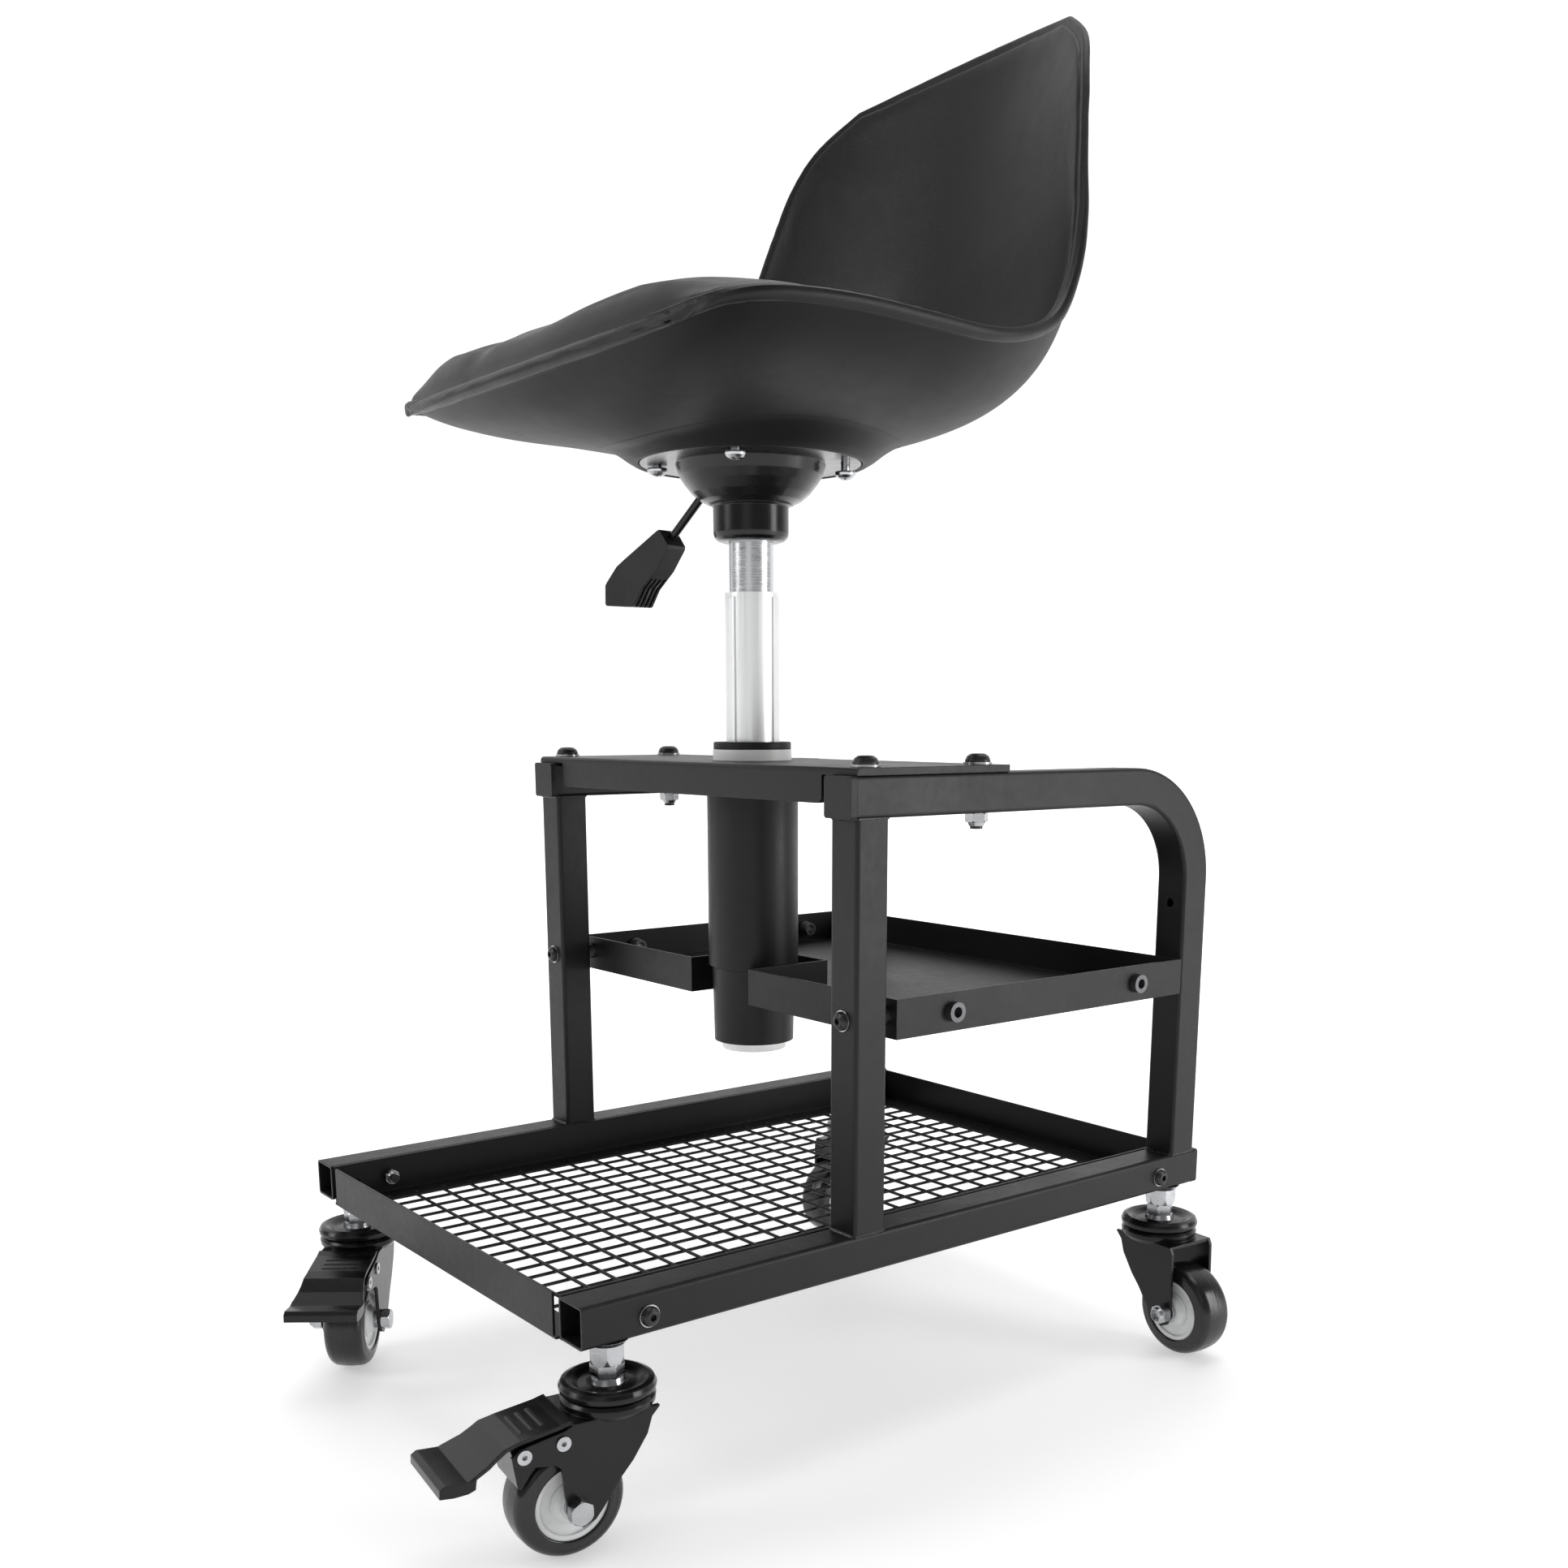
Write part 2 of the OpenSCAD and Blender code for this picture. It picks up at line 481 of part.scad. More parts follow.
module lower_tray() {
  s = sheet; lw = 20; y0 = -rail_front; y1 = rail_rear;
  color(black) difference() {
    union() {
      for (m=[0,1]) mirror([m,0,0]) {
        plate_box(low_hw-s,low_hw,y0+2,y1,low_z,low_top);
        plate_box(low_hw-lw,low_hw,y0+2,y1,low_z,low_z+s);
      }
      plate_box(-155,155,y0,y0+s,low_z,low_top);
      plate_box(-low_hw+4,low_hw-4,y0,y0+lw,low_z,low_z+s);
      plate_box(-low_hw,low_hw,y1-s,y1,low_z,low_top);
      plate_box(-low_hw,low_hw,y1-lw,y1,low_z,low_z+s);
    }
    for (m=[0,1]) mirror([m,0,0]) {
      for (y=[bolt_yf,bolt_yr]) translate([low_hw,y,rail_bolt_z]) xcyl(3.3,-4,3);
      translate([low_hw,-237,rail_bolt_z]) xcyl(2.4,-4,3);
    }
  }
}
module mesh() {
  za = low_z-wire_r-0.03; zb = za-2*wire_r-0.05;
  nx = floor(290/mesh_px); ny = floor(488/mesh_py);
  color(black) {
    for (i=[0:ny]) translate([0,-rail_front+15+i*mesh_py,za]) xcyl(wire_r,-154,154,$fn=24);
    for (i=[0:nx]) translate([(i-nx/2)*mesh_px,0,zb]) ycyl(wire_r,-rail_front+8,rail_rear-8,$fn=24);
  }
}

// ---------- castors ----------
// the origin lies under the middle of the whole stool
base_x = 13.79;
base_y = -34.25;
module at_base() translate([-base_x,-base_y,0]) children();
castor_pos = [[-rx,cy_front,swivel_fl],[rx,cy_front,swivel_fr],[-rx,cy_rear,swivel_rl],[rx,cy_rear,swivel_rr]];
module each_castor() for (c=castor_pos) translate([c[0],c[1],0]) children();
module castor_couplings() {
  color(steel) each_castor() difference() {
    union() {
      translate([0,0,106.6]) rotate(30) intersection() { hexp(19,14.3); cylinder(r1=10,r2=13,h=14.3); }
      translate([0,0,118.2]) cylinder(r1=11,r2=13.2,h=2.75);
    }
    translate([0,0,106]) cylinder(r=6.02,h=16);
  }
}
module castor_stems() {
  color([0.85,0.86,0.88]) each_castor() {
    translate([0,0,106.5]) cylinder(r=6,h=22);
    translate([0,0,98.6]) intersection() { hexp(17,7.92); cylinder(r1=14,r2=9.2,h=7.92); }
    translate([0,0,95.2]) cylinder(r1=10.6,r2=9.4,h=3.41);
    translate([0,0,84]) cylinder(r=5,h=11.3);
    translate([0,0,80.4]) cylinder(r=7.4,h=3.61);
  }
}
module castor_caps() {
  color([0.05,0.05,0.05]) each_castor() rotate_extrude($fn=64) difference() {
    polygon([[5.3,95.15],[12,95.15],[17,94.4],[20.5,96.6],[23.6,97.6],[26.4,96.6],[27.8,94],[27.4,91.4],[25.4,90],[22,90.4],[16,91.6],[5.3,91.6]]);
  }
}
// fork drawn with the wheel trailing towards -Y, axle along X
leg_pts = [[22,83.4],[22,82.6],[17.2,77.5],[14.3,68],[5.3,54.4],[-2.2,46],[-7.7,38.2],[-13,31],[-18,25],[-25.5,22],[-31,24.6],[-33.8,31]];
module leg2d(brake) {
  polygon(brake ? concat(leg_pts,[[-35.7,43],[-36.6,53],[-37.4,59.7],[-41,62.6],[-51,64.2],[-62,66.8],[-65,69],[-65.4,72.6],[-61,76.2],[-48,78.6],[-36,80.6],[-29,83.4]]) : concat(leg_pts,[[-33.5,60],[-33,79],[-31,83.4]]));
}
module fork_body(brake) {
  ow = 21.2; t = 2.4;
  difference() {
    union() {
      for (s=[-1,1]) translate([s>0?ow-t:-ow,0,0]) rotate([90,0,90]) linear_extrude(t) leg2d(brake);
      // crown plate
      translate([0,0,81]) linear_extrude(2.4) difference() {
        union() { circle(r=24.4,$fn=64); translate([-ow,brake?-29:-31]) square([2*ow,30]); translate([-ow,-0.1]) square([2*ow,14]); }
        circle(r=12,$fn=48);
      }
      // pressed raceway
      rotate_extrude($fn=64) polygon([[12,81.01],[24.5,81.01],[26.9,84.2],[27.2,87.4],[25.6,89.4],[20,89.6],[16.5,86.2],[12,85.2]]);
    }
    translate([0,-trail,wheel_r]) xcyl(4.15,-30,30);
    if (brake) for (q=riv) translate([0,-q[0],q[1]]) xcyl(2.6,-30,30);
  }
}
riv = [[36,74.3],[58.6,72]];   // pedal pivot and stop pin
module place(i) { translate([castor_pos[i][0],castor_pos[i][1],0]) rotate(castor_pos[i][2]) children(); }
module fork(i) color([0.05,0.05,0.05]) place(i) fork_body(i<2);
module tread(i) color([0.1,0.1,0.1]) place(i) translate([0,-trail,wheel_r]) rotate([0,90,0]) rotate_extrude($fn=72) {
  h = tread_hw; r = wheel_r;
  polygon([[22,-h],[r-8,-h],[r-4.5,-h+0.8],[r-1.9,-h+3],[r-0.6,-h+6],[r,-h+10],[r,h-10],[r-0.6,h-6],[r-1.9,h-3],[r-4.5,h-0.8],[r-8,h],[22,h]]);
}
module wheel_hub(i) color([0.6,0.6,0.6]) place(i) translate([0,-trail,wheel_r]) rotate([0,90,0]) difference() {
  rotate_extrude($fn=64) polygon([[4.2,-15.8],[8.5,-15.8],[9.2,-14],[11,-12],[21.95,-12.8],[21.95,12.8],[11,12],[9.2,14],[8.5,15.8],[4.2,15.8]]);
  rotate_extrude($fn=64) for (s=[-1,1]) translate([16,s*12.6]) square([6.4,3.4],center=true);
}
module axle(i) color([0.85,0.86,0.88]) place(i) {
  translate([0,-trail,wheel_r]) {
    xcyl(4.14,-27.4,21.26);
    translate([21.25,0,0]) rotate([0,90,0]) hexnut(13,6.2);
    translate([-21.25,0,0]) rotate([0,90,0]) nyloc(13,9,4.18);
    for (s=[-1,1]) difference() { xcyl(6.4,s>0?15.9:-18.7,s>0?18.7:-15.9); xcyl(4.2,-30,30); }
  }
  if (i<2) for (s=[-1,1], k=[0,1]) {
    e = k==0 ? 15.2 : 18.85;
    translate([0,-riv[k][0],riv[k][1]]) difference() { union() { xcyl(2.54,s>0?e:-21.25,s>0?21.25:-e); xcyl(4.2,s>0?21.24:-22.4,s>0?22.4:-21.24); } xcyl(1.5,s>0?20.4:-24,s>0?24:-20.4); }
  }
}
module pedal_side() polygon([[-30.5,85.8],[-37,84.2],[-60,81],[-69,79],[-79,72.6],[-91,67.4],[-103.4,68.4],[-106.4,66.4],[-106.6,61.6],[-104.4,61.6],[-103,66.2],[-91,65.2],[-78,70.4],[-68,76.8],[-60,78.8],[-37,82.1],[-30.5,83.7]]);
module brake_pedal(i) color([0.06,0.06,0.06]) place(i) difference() {
  union() {
    intersection() {
      rotate([90,0,90]) linear_extrude(60,center=true) pedal_side();
      linear_extrude(120) polygon([[-20.5,-28],[20.5,-28],[20.5,-62],[21.4,-74],[24.5,-90],[24.5,-115],[-24.5,-115],[-24.5,-90],[-21.4,-74],[-20.5,-62]]);
    }
    for (y=[-44,-50,-56]) translate([0,y,81.4-(y+50)*-0.14]) xcyl(1.5,-12,12);
    // side flanges of the wide end
    for (s=[-1,1]) mirror([s<0?1:0,0,0]) translate([22.5,0,0]) rotate([90,0,90]) linear_extrude(2) polygon([[-86,69],[-91,66.8],[-103,67.6],[-106.2,66],[-106.4,61.6],[-99,60.6],[-91,60.8],[-87,62.2]]);
    // ears down to the pivot and the shoe between them
    for (s=[-1,1]) translate([s>0?15.4:-17.6,0,0]) rotate([90,0,90]) linear_extrude(2.2) polygon([[-31.5,73],[-34,70],[-42,69.6],[-58,66.5],[-63,69],[-66,78],[-60,79.8],[-37,83],[-32,84]]);
    rotate([90,0,90]) linear_extrude(31,center=true) polygon([[-47,79.8],[-47,64.6],[-53,58],[-58.8,50.6],[-60.6,51.5],[-62,60],[-64.5,77]]);
  }
  translate([0,-riv[0][0],riv[0][1]]) xcyl(2.6,-30,30);
}
module fork_fl() fork(0);
module fork_fr() fork(1);
module fork_rl() fork(2);
module fork_rr() fork(3);
module tread_fl() tread(0);
module tread_fr() tread(1);
module tread_rl() tread(2);
module tread_rr() tread(3);
module wheel_hub_fl() wheel_hub(0);
module wheel_hub_fr() wheel_hub(1);
module wheel_hub_rl() wheel_hub(2);
module wheel_hub_rr() wheel_hub(3);
module axle_fl() axle(0);
module axle_fr() axle(1);
module axle_rl() axle(2);
module axle_rr() axle(3);
module brake_pedal_fl() brake_pedal(0);
module brake_pedal_fr() brake_pedal(1);

at_base() rail_left();
at_base() rail_right();
at_base() post_left();
at_base() post_right();
at_base() arch_left();
at_base() arch_right();
at_base() end_caps();
at_base() weld_beads();
at_base() top_plate();
at_base() plate_bolts();
at_base() washers();
at_base() plate_nuts();
at_base() column_tube();
at_base() column_lower();
at_base() nylon_bush();
at_base() top_ring();
at_base() column_cap();
at_base() piston_rod();
at_base() rod_seat();
at_base() mid_tray();
at_base() rivet_nuts();
at_base() frame_bolts();
at_base() frame_nuts();
at_base() tray_spacers();
at_base() lower_tray();
at_base() mesh();
at_base() castor_couplings();
at_base() castor_stems();
at_base() castor_caps();
at_base() guide_tube();
at_base() gas_cylinder();
at_base() cylinder_gland();
at_base() seat_hub();
at_base() seat_dish();
at_base() seat_screws();
at_base() seat_boss();
at_base() seat_shell();
at_base() seat_pad();
at_base() lever_rod();
at_base() lever_grip();
at_base() valve_pin();
at_base() fork_fl();
at_base() fork_fr();
at_base() fork_rl();
at_base() fork_rr();
at_base() tread_fl();
at_base() tread_fr();
at_base() tread_rl();
at_base() tread_rr();
at_base() wheel_hub_fl();
at_base() wheel_hub_fr();
at_base() wheel_hub_rl();
at_base() wheel_hub_rr();
at_base() axle_fl();
at_base() axle_fr();
at_base() axle_rl();
at_base() axle_rr();
at_base() brake_pedal_fl();
at_base() brake_pedal_fr();
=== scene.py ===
import bpy, bmesh, json, math
import numpy as np
from mathutils import Vector, Matrix
from mathutils.bvhtree import BVHTree


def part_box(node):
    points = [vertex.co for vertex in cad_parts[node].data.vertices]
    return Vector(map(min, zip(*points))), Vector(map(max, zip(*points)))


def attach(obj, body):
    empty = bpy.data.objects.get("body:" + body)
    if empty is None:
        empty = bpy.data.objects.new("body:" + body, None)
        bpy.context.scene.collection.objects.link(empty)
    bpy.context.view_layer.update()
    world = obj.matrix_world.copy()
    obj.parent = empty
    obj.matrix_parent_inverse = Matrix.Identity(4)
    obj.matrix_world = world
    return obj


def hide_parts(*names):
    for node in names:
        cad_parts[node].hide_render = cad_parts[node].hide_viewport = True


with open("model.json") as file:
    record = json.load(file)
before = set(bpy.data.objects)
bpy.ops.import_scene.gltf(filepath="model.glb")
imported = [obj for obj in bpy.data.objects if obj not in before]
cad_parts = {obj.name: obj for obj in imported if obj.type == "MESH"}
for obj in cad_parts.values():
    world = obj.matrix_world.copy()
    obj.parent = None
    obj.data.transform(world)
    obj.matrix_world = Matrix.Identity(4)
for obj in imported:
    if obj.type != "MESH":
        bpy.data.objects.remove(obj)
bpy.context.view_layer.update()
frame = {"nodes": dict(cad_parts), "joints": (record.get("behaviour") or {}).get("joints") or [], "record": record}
nodes = frame["nodes"]
scene = bpy.context.scene
slot_of = {s["node"]: s["material_slot"] for s in frame["record"]["subparts"]}

# the lift column's axis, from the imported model: piece coordinates below are in mm from its foot
_lo, _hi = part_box("gas_cylinder")
AX, AY = (_lo.x + _hi.x) / 2, (_lo.y + _hi.y) / 2


def row(P):
    P = np.asarray(P, float) / 1000.0
    return P + np.array([AX, AY, 0.0])


# ------------------------------------------------------------------ materials
def lin(c, k=1.0):
    return (min(c[0] * k, 1), min(c[1] * k, 1), min(c[2] * k, 1), 1)


class Mat:
    def __init__(self, name):
        self.m = bpy.data.materials.new(name)
        self.m.use_nodes = True
        self.t = self.m.node_tree
        self.t.nodes.clear()
        self.out = self.n("ShaderNodeOutputMaterial")
        self.b = self.n("ShaderNodeBsdfPrincipled")
        self.l(self.b.outputs[0], self.out.inputs[0])
        self.co = self.n("ShaderNodeTexCoord").outputs["Object"]

    def n(self, kind, **kw):
        x = self.t.nodes.new(kind)
        for k, v in kw.items():
            setattr(x, k, v)
        return x

    def l(self, a, b):
        self.t.links.new(a, b)

    def set(self, x, name, v):
        x.inputs[name].default_value = v

    def mapped(self, scale=(1, 1, 1), rot=(0, 0, 0)):
        x = self.n("ShaderNodeMapping")
        self.l(self.co, x.inputs["Vector"])
        x.inputs["Scale"].default_value = scale
        x.inputs["Rotation"].default_value = rot
        return x.outputs[0]

    def noise(self, scale, detail=3.0, rough=0.5, vec=None, distortion=0.0):
        x = self.n("ShaderNodeTexNoise")
        self.set(x, "Scale", scale)
        self.set(x, "Detail", detail)
        self.set(x, "Roughness", rough)
        self.set(x, "Distortion", distortion)
        self.l(vec or self.co, x.inputs["Vector"])
        return x.outputs["Fac"]

    def voronoi(self, scale, feature="F1", vec=None, rand=1.0):
        x = self.n("ShaderNodeTexVoronoi", feature=feature)
        self.set(x, "Scale", scale)
        self.set(x, "Randomness", rand)
        self.l(vec or self.co, x.inputs["Vector"])
        return x.outputs["Distance"]

    def rng(self, a, lo, hi, to0, to1, smooth=False):
        x = self.n("ShaderNodeMapRange")
        if smooth:
            x.interpolation_type = "SMOOTHSTEP"
        self.l(a, x.inputs["Value"])
        for k, v in (("From Min", lo), ("From Max", hi), ("To Min", to0), ("To Max", to1)):
            self.set(x, k, v)
        return x.outputs[0]

    def math(self, op, a, b=None):
        x = self.n("ShaderNodeMath", operation=op)
        for i, v in enumerate((a, b)):
            if v is None:
                continue
            if isinstance(v, (int, float)):
                x.inputs[i].default_value = v
            else:
                self.l(v, x.inputs[i])
        return x.outputs[0]

    def mix(self, f, a, b):
        x = self.n("ShaderNodeMix", data_type="RGBA")
        if isinstance(f, (int, float)):
            x.inputs[0].default_value = f
        else:
            self.l(f, x.inputs[0])
        for s, v in ((x.inputs[6], a), (x.inputs[7], b)):
            if isinstance(v, tuple):
                s.default_value = v
            else:
                self.l(v, s)
        return x.outputs[2]

    def bump(self, h, strength, dist, normal=None):
        x = self.n("ShaderNodeBump")
        self.set(x, "Strength", strength)
        self.set(x, "Distance", dist)
        self.l(h, x.inputs["Height"])
        if normal is not None:
            self.l(normal, x.inputs["Normal"])
        return x.outputs[0]


def surface(name, color, rough, metallic=0.0, spec=0.5, coat=0.0, coat_rough=0.1,
            var=0.18, var_scale=14.0, rough_var=0.07, bevel=0.0, wear=0.0, wear_color=None,
            grain=None, leather=None, brushed=None, peel=None, dust=0.0, aniso=0.0, speck=0.0):
    """One finish: tone drifts over the surface, roughness drifts, the grain is in the bump, the edges wear."""
    k = Mat(name)
    b = k.b
    b.inputs["Metallic"].default_value = metallic
    b.inputs["Specular IOR Level"].default_value = spec
    if coat:
        b.inputs["Coat Weight"].default_value = coat
        b.inputs["Coat Roughness"].default_value = coat_rough
    if aniso:
        b.inputs["Anisotropic"].default_value = aniso
    broad = k.noise(var_scale, 4.0, 0.55)
    col = k.mix(k.rng(broad, 0.3, 0.7, 0, 1), lin(color, 1 - var), lin(color, 1 + var))
    fine = k.noise(var_scale * 11, 3.0, 0.6)
    rf = k.rng(k.math("ADD", k.math("MULTIPLY", broad, 0.6), k.math("MULTIPLY", fine, 0.4)), 0.32, 0.68,
               max(rough - rough_var, 0.02), min(rough + rough_var, 1))
    normal = None
    if bevel:
        bv = k.n("ShaderNodeBevel")
        bv.samples = 4
        bv.inputs["Radius"].default_value = bevel
        normal = bv.outputs[0]
        if wear:
            ge = k.n("ShaderNodeNewGeometry")
            dt = k.n("ShaderNodeVectorMath", operation="DOT_PRODUCT")
            k.l(bv.outputs[0], dt.inputs[0])
            k.l(ge.outputs["Normal"], dt.inputs[1])
            edge = k.rng(dt.outputs["Value"], 0.995, 0.86, 0, 1)
            breakup = k.rng(k.noise(190, 4, 0.65), 0.42, 0.62, 0, 1)
            mask = k.math("MULTIPLY", k.math("MULTIPLY", edge, breakup), wear)
            col = k.mix(mask, col, lin(wear_color or tuple(min(1, c * 3 + 0.03) for c in color)))
            rf = k.math("ADD", rf, k.math("MULTIPLY", mask, 0.12))
    if speck:
        sp = k.rng(k.noise(1500, 1.0, 0.5), 0.66, 0.74, 0, speck)
        col = k.mix(sp, col, lin(color, 2.2))
    if dust:
        ge2 = k.n("ShaderNodeNewGeometry")
        sx = k.n("ShaderNodeSeparateXYZ")
        k.l(ge2.outputs["Normal"], sx.inputs[0])
        up = k.rng(sx.outputs["Z"], 0.5, 1.0, 0, dust)
        dm = k.math("MULTIPLY", up, k.rng(k.noise(60, 5, 0.6), 0.35, 0.7, 0, 1))
        col = k.mix(dm, col, (0.22, 0.215, 0.205, 1))
        rf = k.math("ADD", rf, k.math("MULTIPLY", dm, 0.4))
    if grain:
        s, st, d = grain
        normal = k.bump(k.noise(s, 2.5, 0.6), st, d, normal)
    if peel:
        s, st, d = peel
        normal = k.bump(k.noise(s, 1.0, 0.4), st, d, normal)
    if leather:
        s, st, d = leather
        cell = k.rng(k.voronoi(s, "DISTANCE_TO_EDGE", k.mapped((1, 1, 1))), 0.0, 0.35, 0, 1, True)
        pores = k.rng(k.noise(s * 2.3, 2, 0.5), 0.35, 0.65, 0, 1)
        hh = k.math("ADD", k.math("MULTIPLY", cell, 0.7), k.math("MULTIPLY", pores, 0.3))
        normal = k.bump(hh, st, d, normal)
        col = k.mix(k.rng(cell, 0, 1, 0.35, 0), col, lin(color, 0.5))
    if brushed:
        sc, st, d = brushed
        br = k.noise(1.0, 3.0, 0.6, k.mapped(sc))
        normal = k.bump(br, st, d, normal)
        rf = k.math("ADD", rf, k.math("MULTIPLY", k.rng(br, 0.35, 0.65, -0.5, 0.5), rough * 0.5))
    k.l(col, b.inputs["Base Color"])
    k.l(rf, b.inputs["Roughness"])
    if normal is not None:
        k.l(normal, b.inputs["Normal"])
    return k.m


M = {
    "frame_paint": surface("powder_coat_black", (0.007, 0.007, 0.0075), 0.42, spec=0.28, var=0.25, bevel=0.0009, wear=0.5,
                           wear_color=(0.10, 0.10, 0.10), grain=(1500, 0.22, 0.00006), peel=(260, 0.10, 0.0002), dust=0.04, speck=0.25),
    "black_plastic": surface("cap_plastic", (0.013, 0.013, 0.014), 0.5, spec=0.3, var=0.15, bevel=0.0007, wear=0.35, grain=(1900, 0.3, 0.00006)),
    "black_fastener": surface("black_oxide", (0.02, 0.02, 0.021), 0.34, metallic=0.35, var=0.3, bevel=0.0003, wear=0.9,
                              wear_color=(0.30, 0.30, 0.31), grain=(900, 0.15, 0.00005)),
    "zinc_steel": surface("bright_zinc", (0.46, 0.465, 0.48), 0.27, metallic=1.0, var=0.16, var_scale=60, rough_var=0.09, bevel=0.0003,
                          grain=(700, 0.12, 0.00004), brushed=((40, 40, 900), 0.1, 0.00003)),
    "nylon_white": surface("natural_nylon", (0.92, 0.92, 0.91), 0.36, var=0.05, bevel=0.0004, grain=(800, 0.1, 0.00005)),
    "rod_steel": surface("ground_rod", (0.7, 0.71, 0.72), 0.12, metallic=1.0, var=0.06, brushed=((300, 300, 4000), 0.12, 0.00002)),
    "aluminium": surface("satin_extrusion", (0.84, 0.845, 0.85), 0.44, metallic=0.85, var=0.03, var_scale=9, rough_var=0.04, bevel=0.0003,
                         brushed=((900, 900, 5), 0.05, 0.00001)),
    "chrome": surface("hard_chrome", (0.66, 0.67, 0.685), 0.27, metallic=1.0, var=0.07, var_scale=20, rough_var=0.05,
                      brushed=((60, 60, 2500), 0.14, 0.00002)),
    "gland_polymer": surface("seal_carrier", (0.08, 0.08, 0.08), 0.5, var=0.2, grain=(900, 0.2, 0.00005)),
    "gloss_black_steel": surface("gloss_black", (0.0045, 0.0045, 0.005), 0.23, spec=0.35, var=0.3, rough_var=0.05,
                                 bevel=0.0013, wear=0.3, wear_color=(0.09, 0.09, 0.09), peel=(230, 0.16, 0.0003), grain=(1400, 0.05, 0.00004)),
    "shell_plastic": surface("shell_moulding", (0.0065, 0.0065, 0.007), 0.48, spec=0.15, var=0.12, var_scale=7, rough_var=0.04,
                             grain=(1150, 0.55, 0.00012), speck=0.35),
    "seat_vinyl": surface("seat_vinyl_skin", (0.0065, 0.0065, 0.007), 0.42, spec=0.26, var=0.12, var_scale=8, rough_var=0.05,
                          leather=(820, 0.35, 0.00016), grain=(2400, 0.15, 0.00005)),
    "tread_polyurethane": surface("polyurethane_tread", (0.010, 0.010, 0.011), 0.27, spec=0.5, var=0.3, var_scale=40, rough_var=0.1,
                                  dust=0.0, grain=(420, 0.15, 0.0001), brushed=((30, 30, 30), 0.1, 0.0002)),
    "wheel_core": surface("moulded_core", (0.74, 0.745, 0.75), 0.34, var=0.08, var_scale=50, bevel=0.0004, wear=0.25,
                          wear_color=(0.75, 0.75, 0.75), grain=(1100, 0.18, 0.00005)),
}
M_grip = surface("grip_moulding", (0.009, 0.009, 0.0095), 0.42, spec=0.3, var=0.2, bevel=0.0006, wear=0.3, grain=(1300, 0.4, 0.0001), speck=0.2)
M_insert = surface("insert_grey", (0.10, 0.10, 0.105), 0.36, metallic=0.8, var=0.2, var_scale=60, bevel=0.0003, grain=(900, 0.15, 0.00004))
M_weld = surface("painted_weld", (0.008, 0.008, 0.0085), 0.30, var=0.3, var_scale=90, grain=(900, 0.4, 0.00015))

for name, obj in nodes.items():
    obj.data.materials.clear()
    obj.data.materials.append(M_grip if name == "lever_grip" else M_insert if name == "rivet_nuts" else M[slot_of[name]])


# ------------------------------------------------------------------ mesh helpers
def make(name, verts, faces, mats, body, smooth=True, face_mat=None):
    me = bpy.data.meshes.new(name)
    me.from_pydata([tuple(v) for v in verts], [], [tuple(int(i) for i in f) for f in faces])
    me.validate()
    ob = bpy.data.objects.new(name, me)
    scene.collection.objects.link(ob)
    for m in mats:
        me.materials.append(m)
    if face_mat is not None:
        me.polygons.foreach_set("material_index", np.asarray(face_mat, np.int32))
    me.polygons.foreach_set("use_smooth", np.full(len(me.polygons), smooth))
    me.update()
    if body:
        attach(ob, body)
    return ob


def grid_faces(nu, nv, off=0, flip=False, wrap_u=False):
    f = []
    m = nu
    for j in range(nv - 1):
        for i in range(nu if wrap_u else nu - 1):
            a, b = j * m + i, j * m + (i + 1) % m
            c, d = (j + 1) * m + (i + 1) % m, (j + 1) * m + i
            q = (a, b, c, d) if not flip else (a, d, c, b)
            f.append(tuple(off + x for x in q))
    return f


def fix_normals(ob):
    bm = bmesh.new()
    bm.from_mesh(ob.data)
    bmesh.ops.recalc_face_normals(bm, faces=bm.faces)
    bm.to_mesh(ob.data)
    bm.free()
    ob.data.update()


def ss(a, b, x):
    t = np.clip((np.asarray(x, float) - a) / (b - a), 0, 1)
    return t * t * (3 - 2 * t)


# value noise for small folds, the same on every run
_rng = np.random.default_rng(7)
_tab = _rng.random((64, 64, 64))


def vnoise(P, scale):
    q = np.asarray(P, float) * scale
    i = np.floor(q).astype(int)
    f = q - i
    f = f * f * (3 - 2 * f)
    r = 0
    for dx in (0, 1):
        for dy in (0, 1):
            for dz in (0, 1):
                w = (f[..., 0] if dx else 1 - f[..., 0]) * (f[..., 1] if dy else 1 - f[..., 1]) * (f[..., 2] if dz else 1 - f[..., 2])
                r = r + w * _tab[(i[..., 0] + dx) % 64, (i[..., 1] + dy) % 64, (i[..., 2] + dz) % 64]
    return r * 2 - 1


# ------------------------------------------------------------------ seat surface, the same rule as the CAD shell
ST_C = np.array([[-179, 665], [-168, 656], [-147, 643], [-110, 634.5], [-60, 633.2], [0, 633.2], [52, 635], [98, 645], [134, 664],
                 [157, 694], [170, 730], [177, 770], [184, 812], [190, 850], [195, 886], [198, 917]], float)
ST_E = np.array([[170, -167, 671], [188, -158, 674.5], [198, -141, 678], [202, -112, 680.5], [204, -72, 681.5], [204, -26, 680.5],
                 [202, 20, 680], [197, 56, 686], [189, 86, 700], [183, 105, 726], [176, 119, 760], [168, 129, 790], [159, 139, 824],
                 [149.5, 149, 856], [135, 163, 884], [106, 181, 907]], float)
NS = len(ST_C) - 1


def at(l, v):
    s = np.clip(v, 0, 1) * NS
    i = np.minimum(np.floor(s), NS - 1).astype(int)
    t = (s - i)[..., None]
    a, b, c, d = l[np.maximum(i - 1, 0)], l[i], l[i + 1], l[np.minimum(i + 2, NS)]
    return 0.5 * ((2 * b) + (c - a) * t + (2 * a - 5 * b + 4 * c - d) * t * t + (3 * b - a - 3 * c + d) * t ** 3)


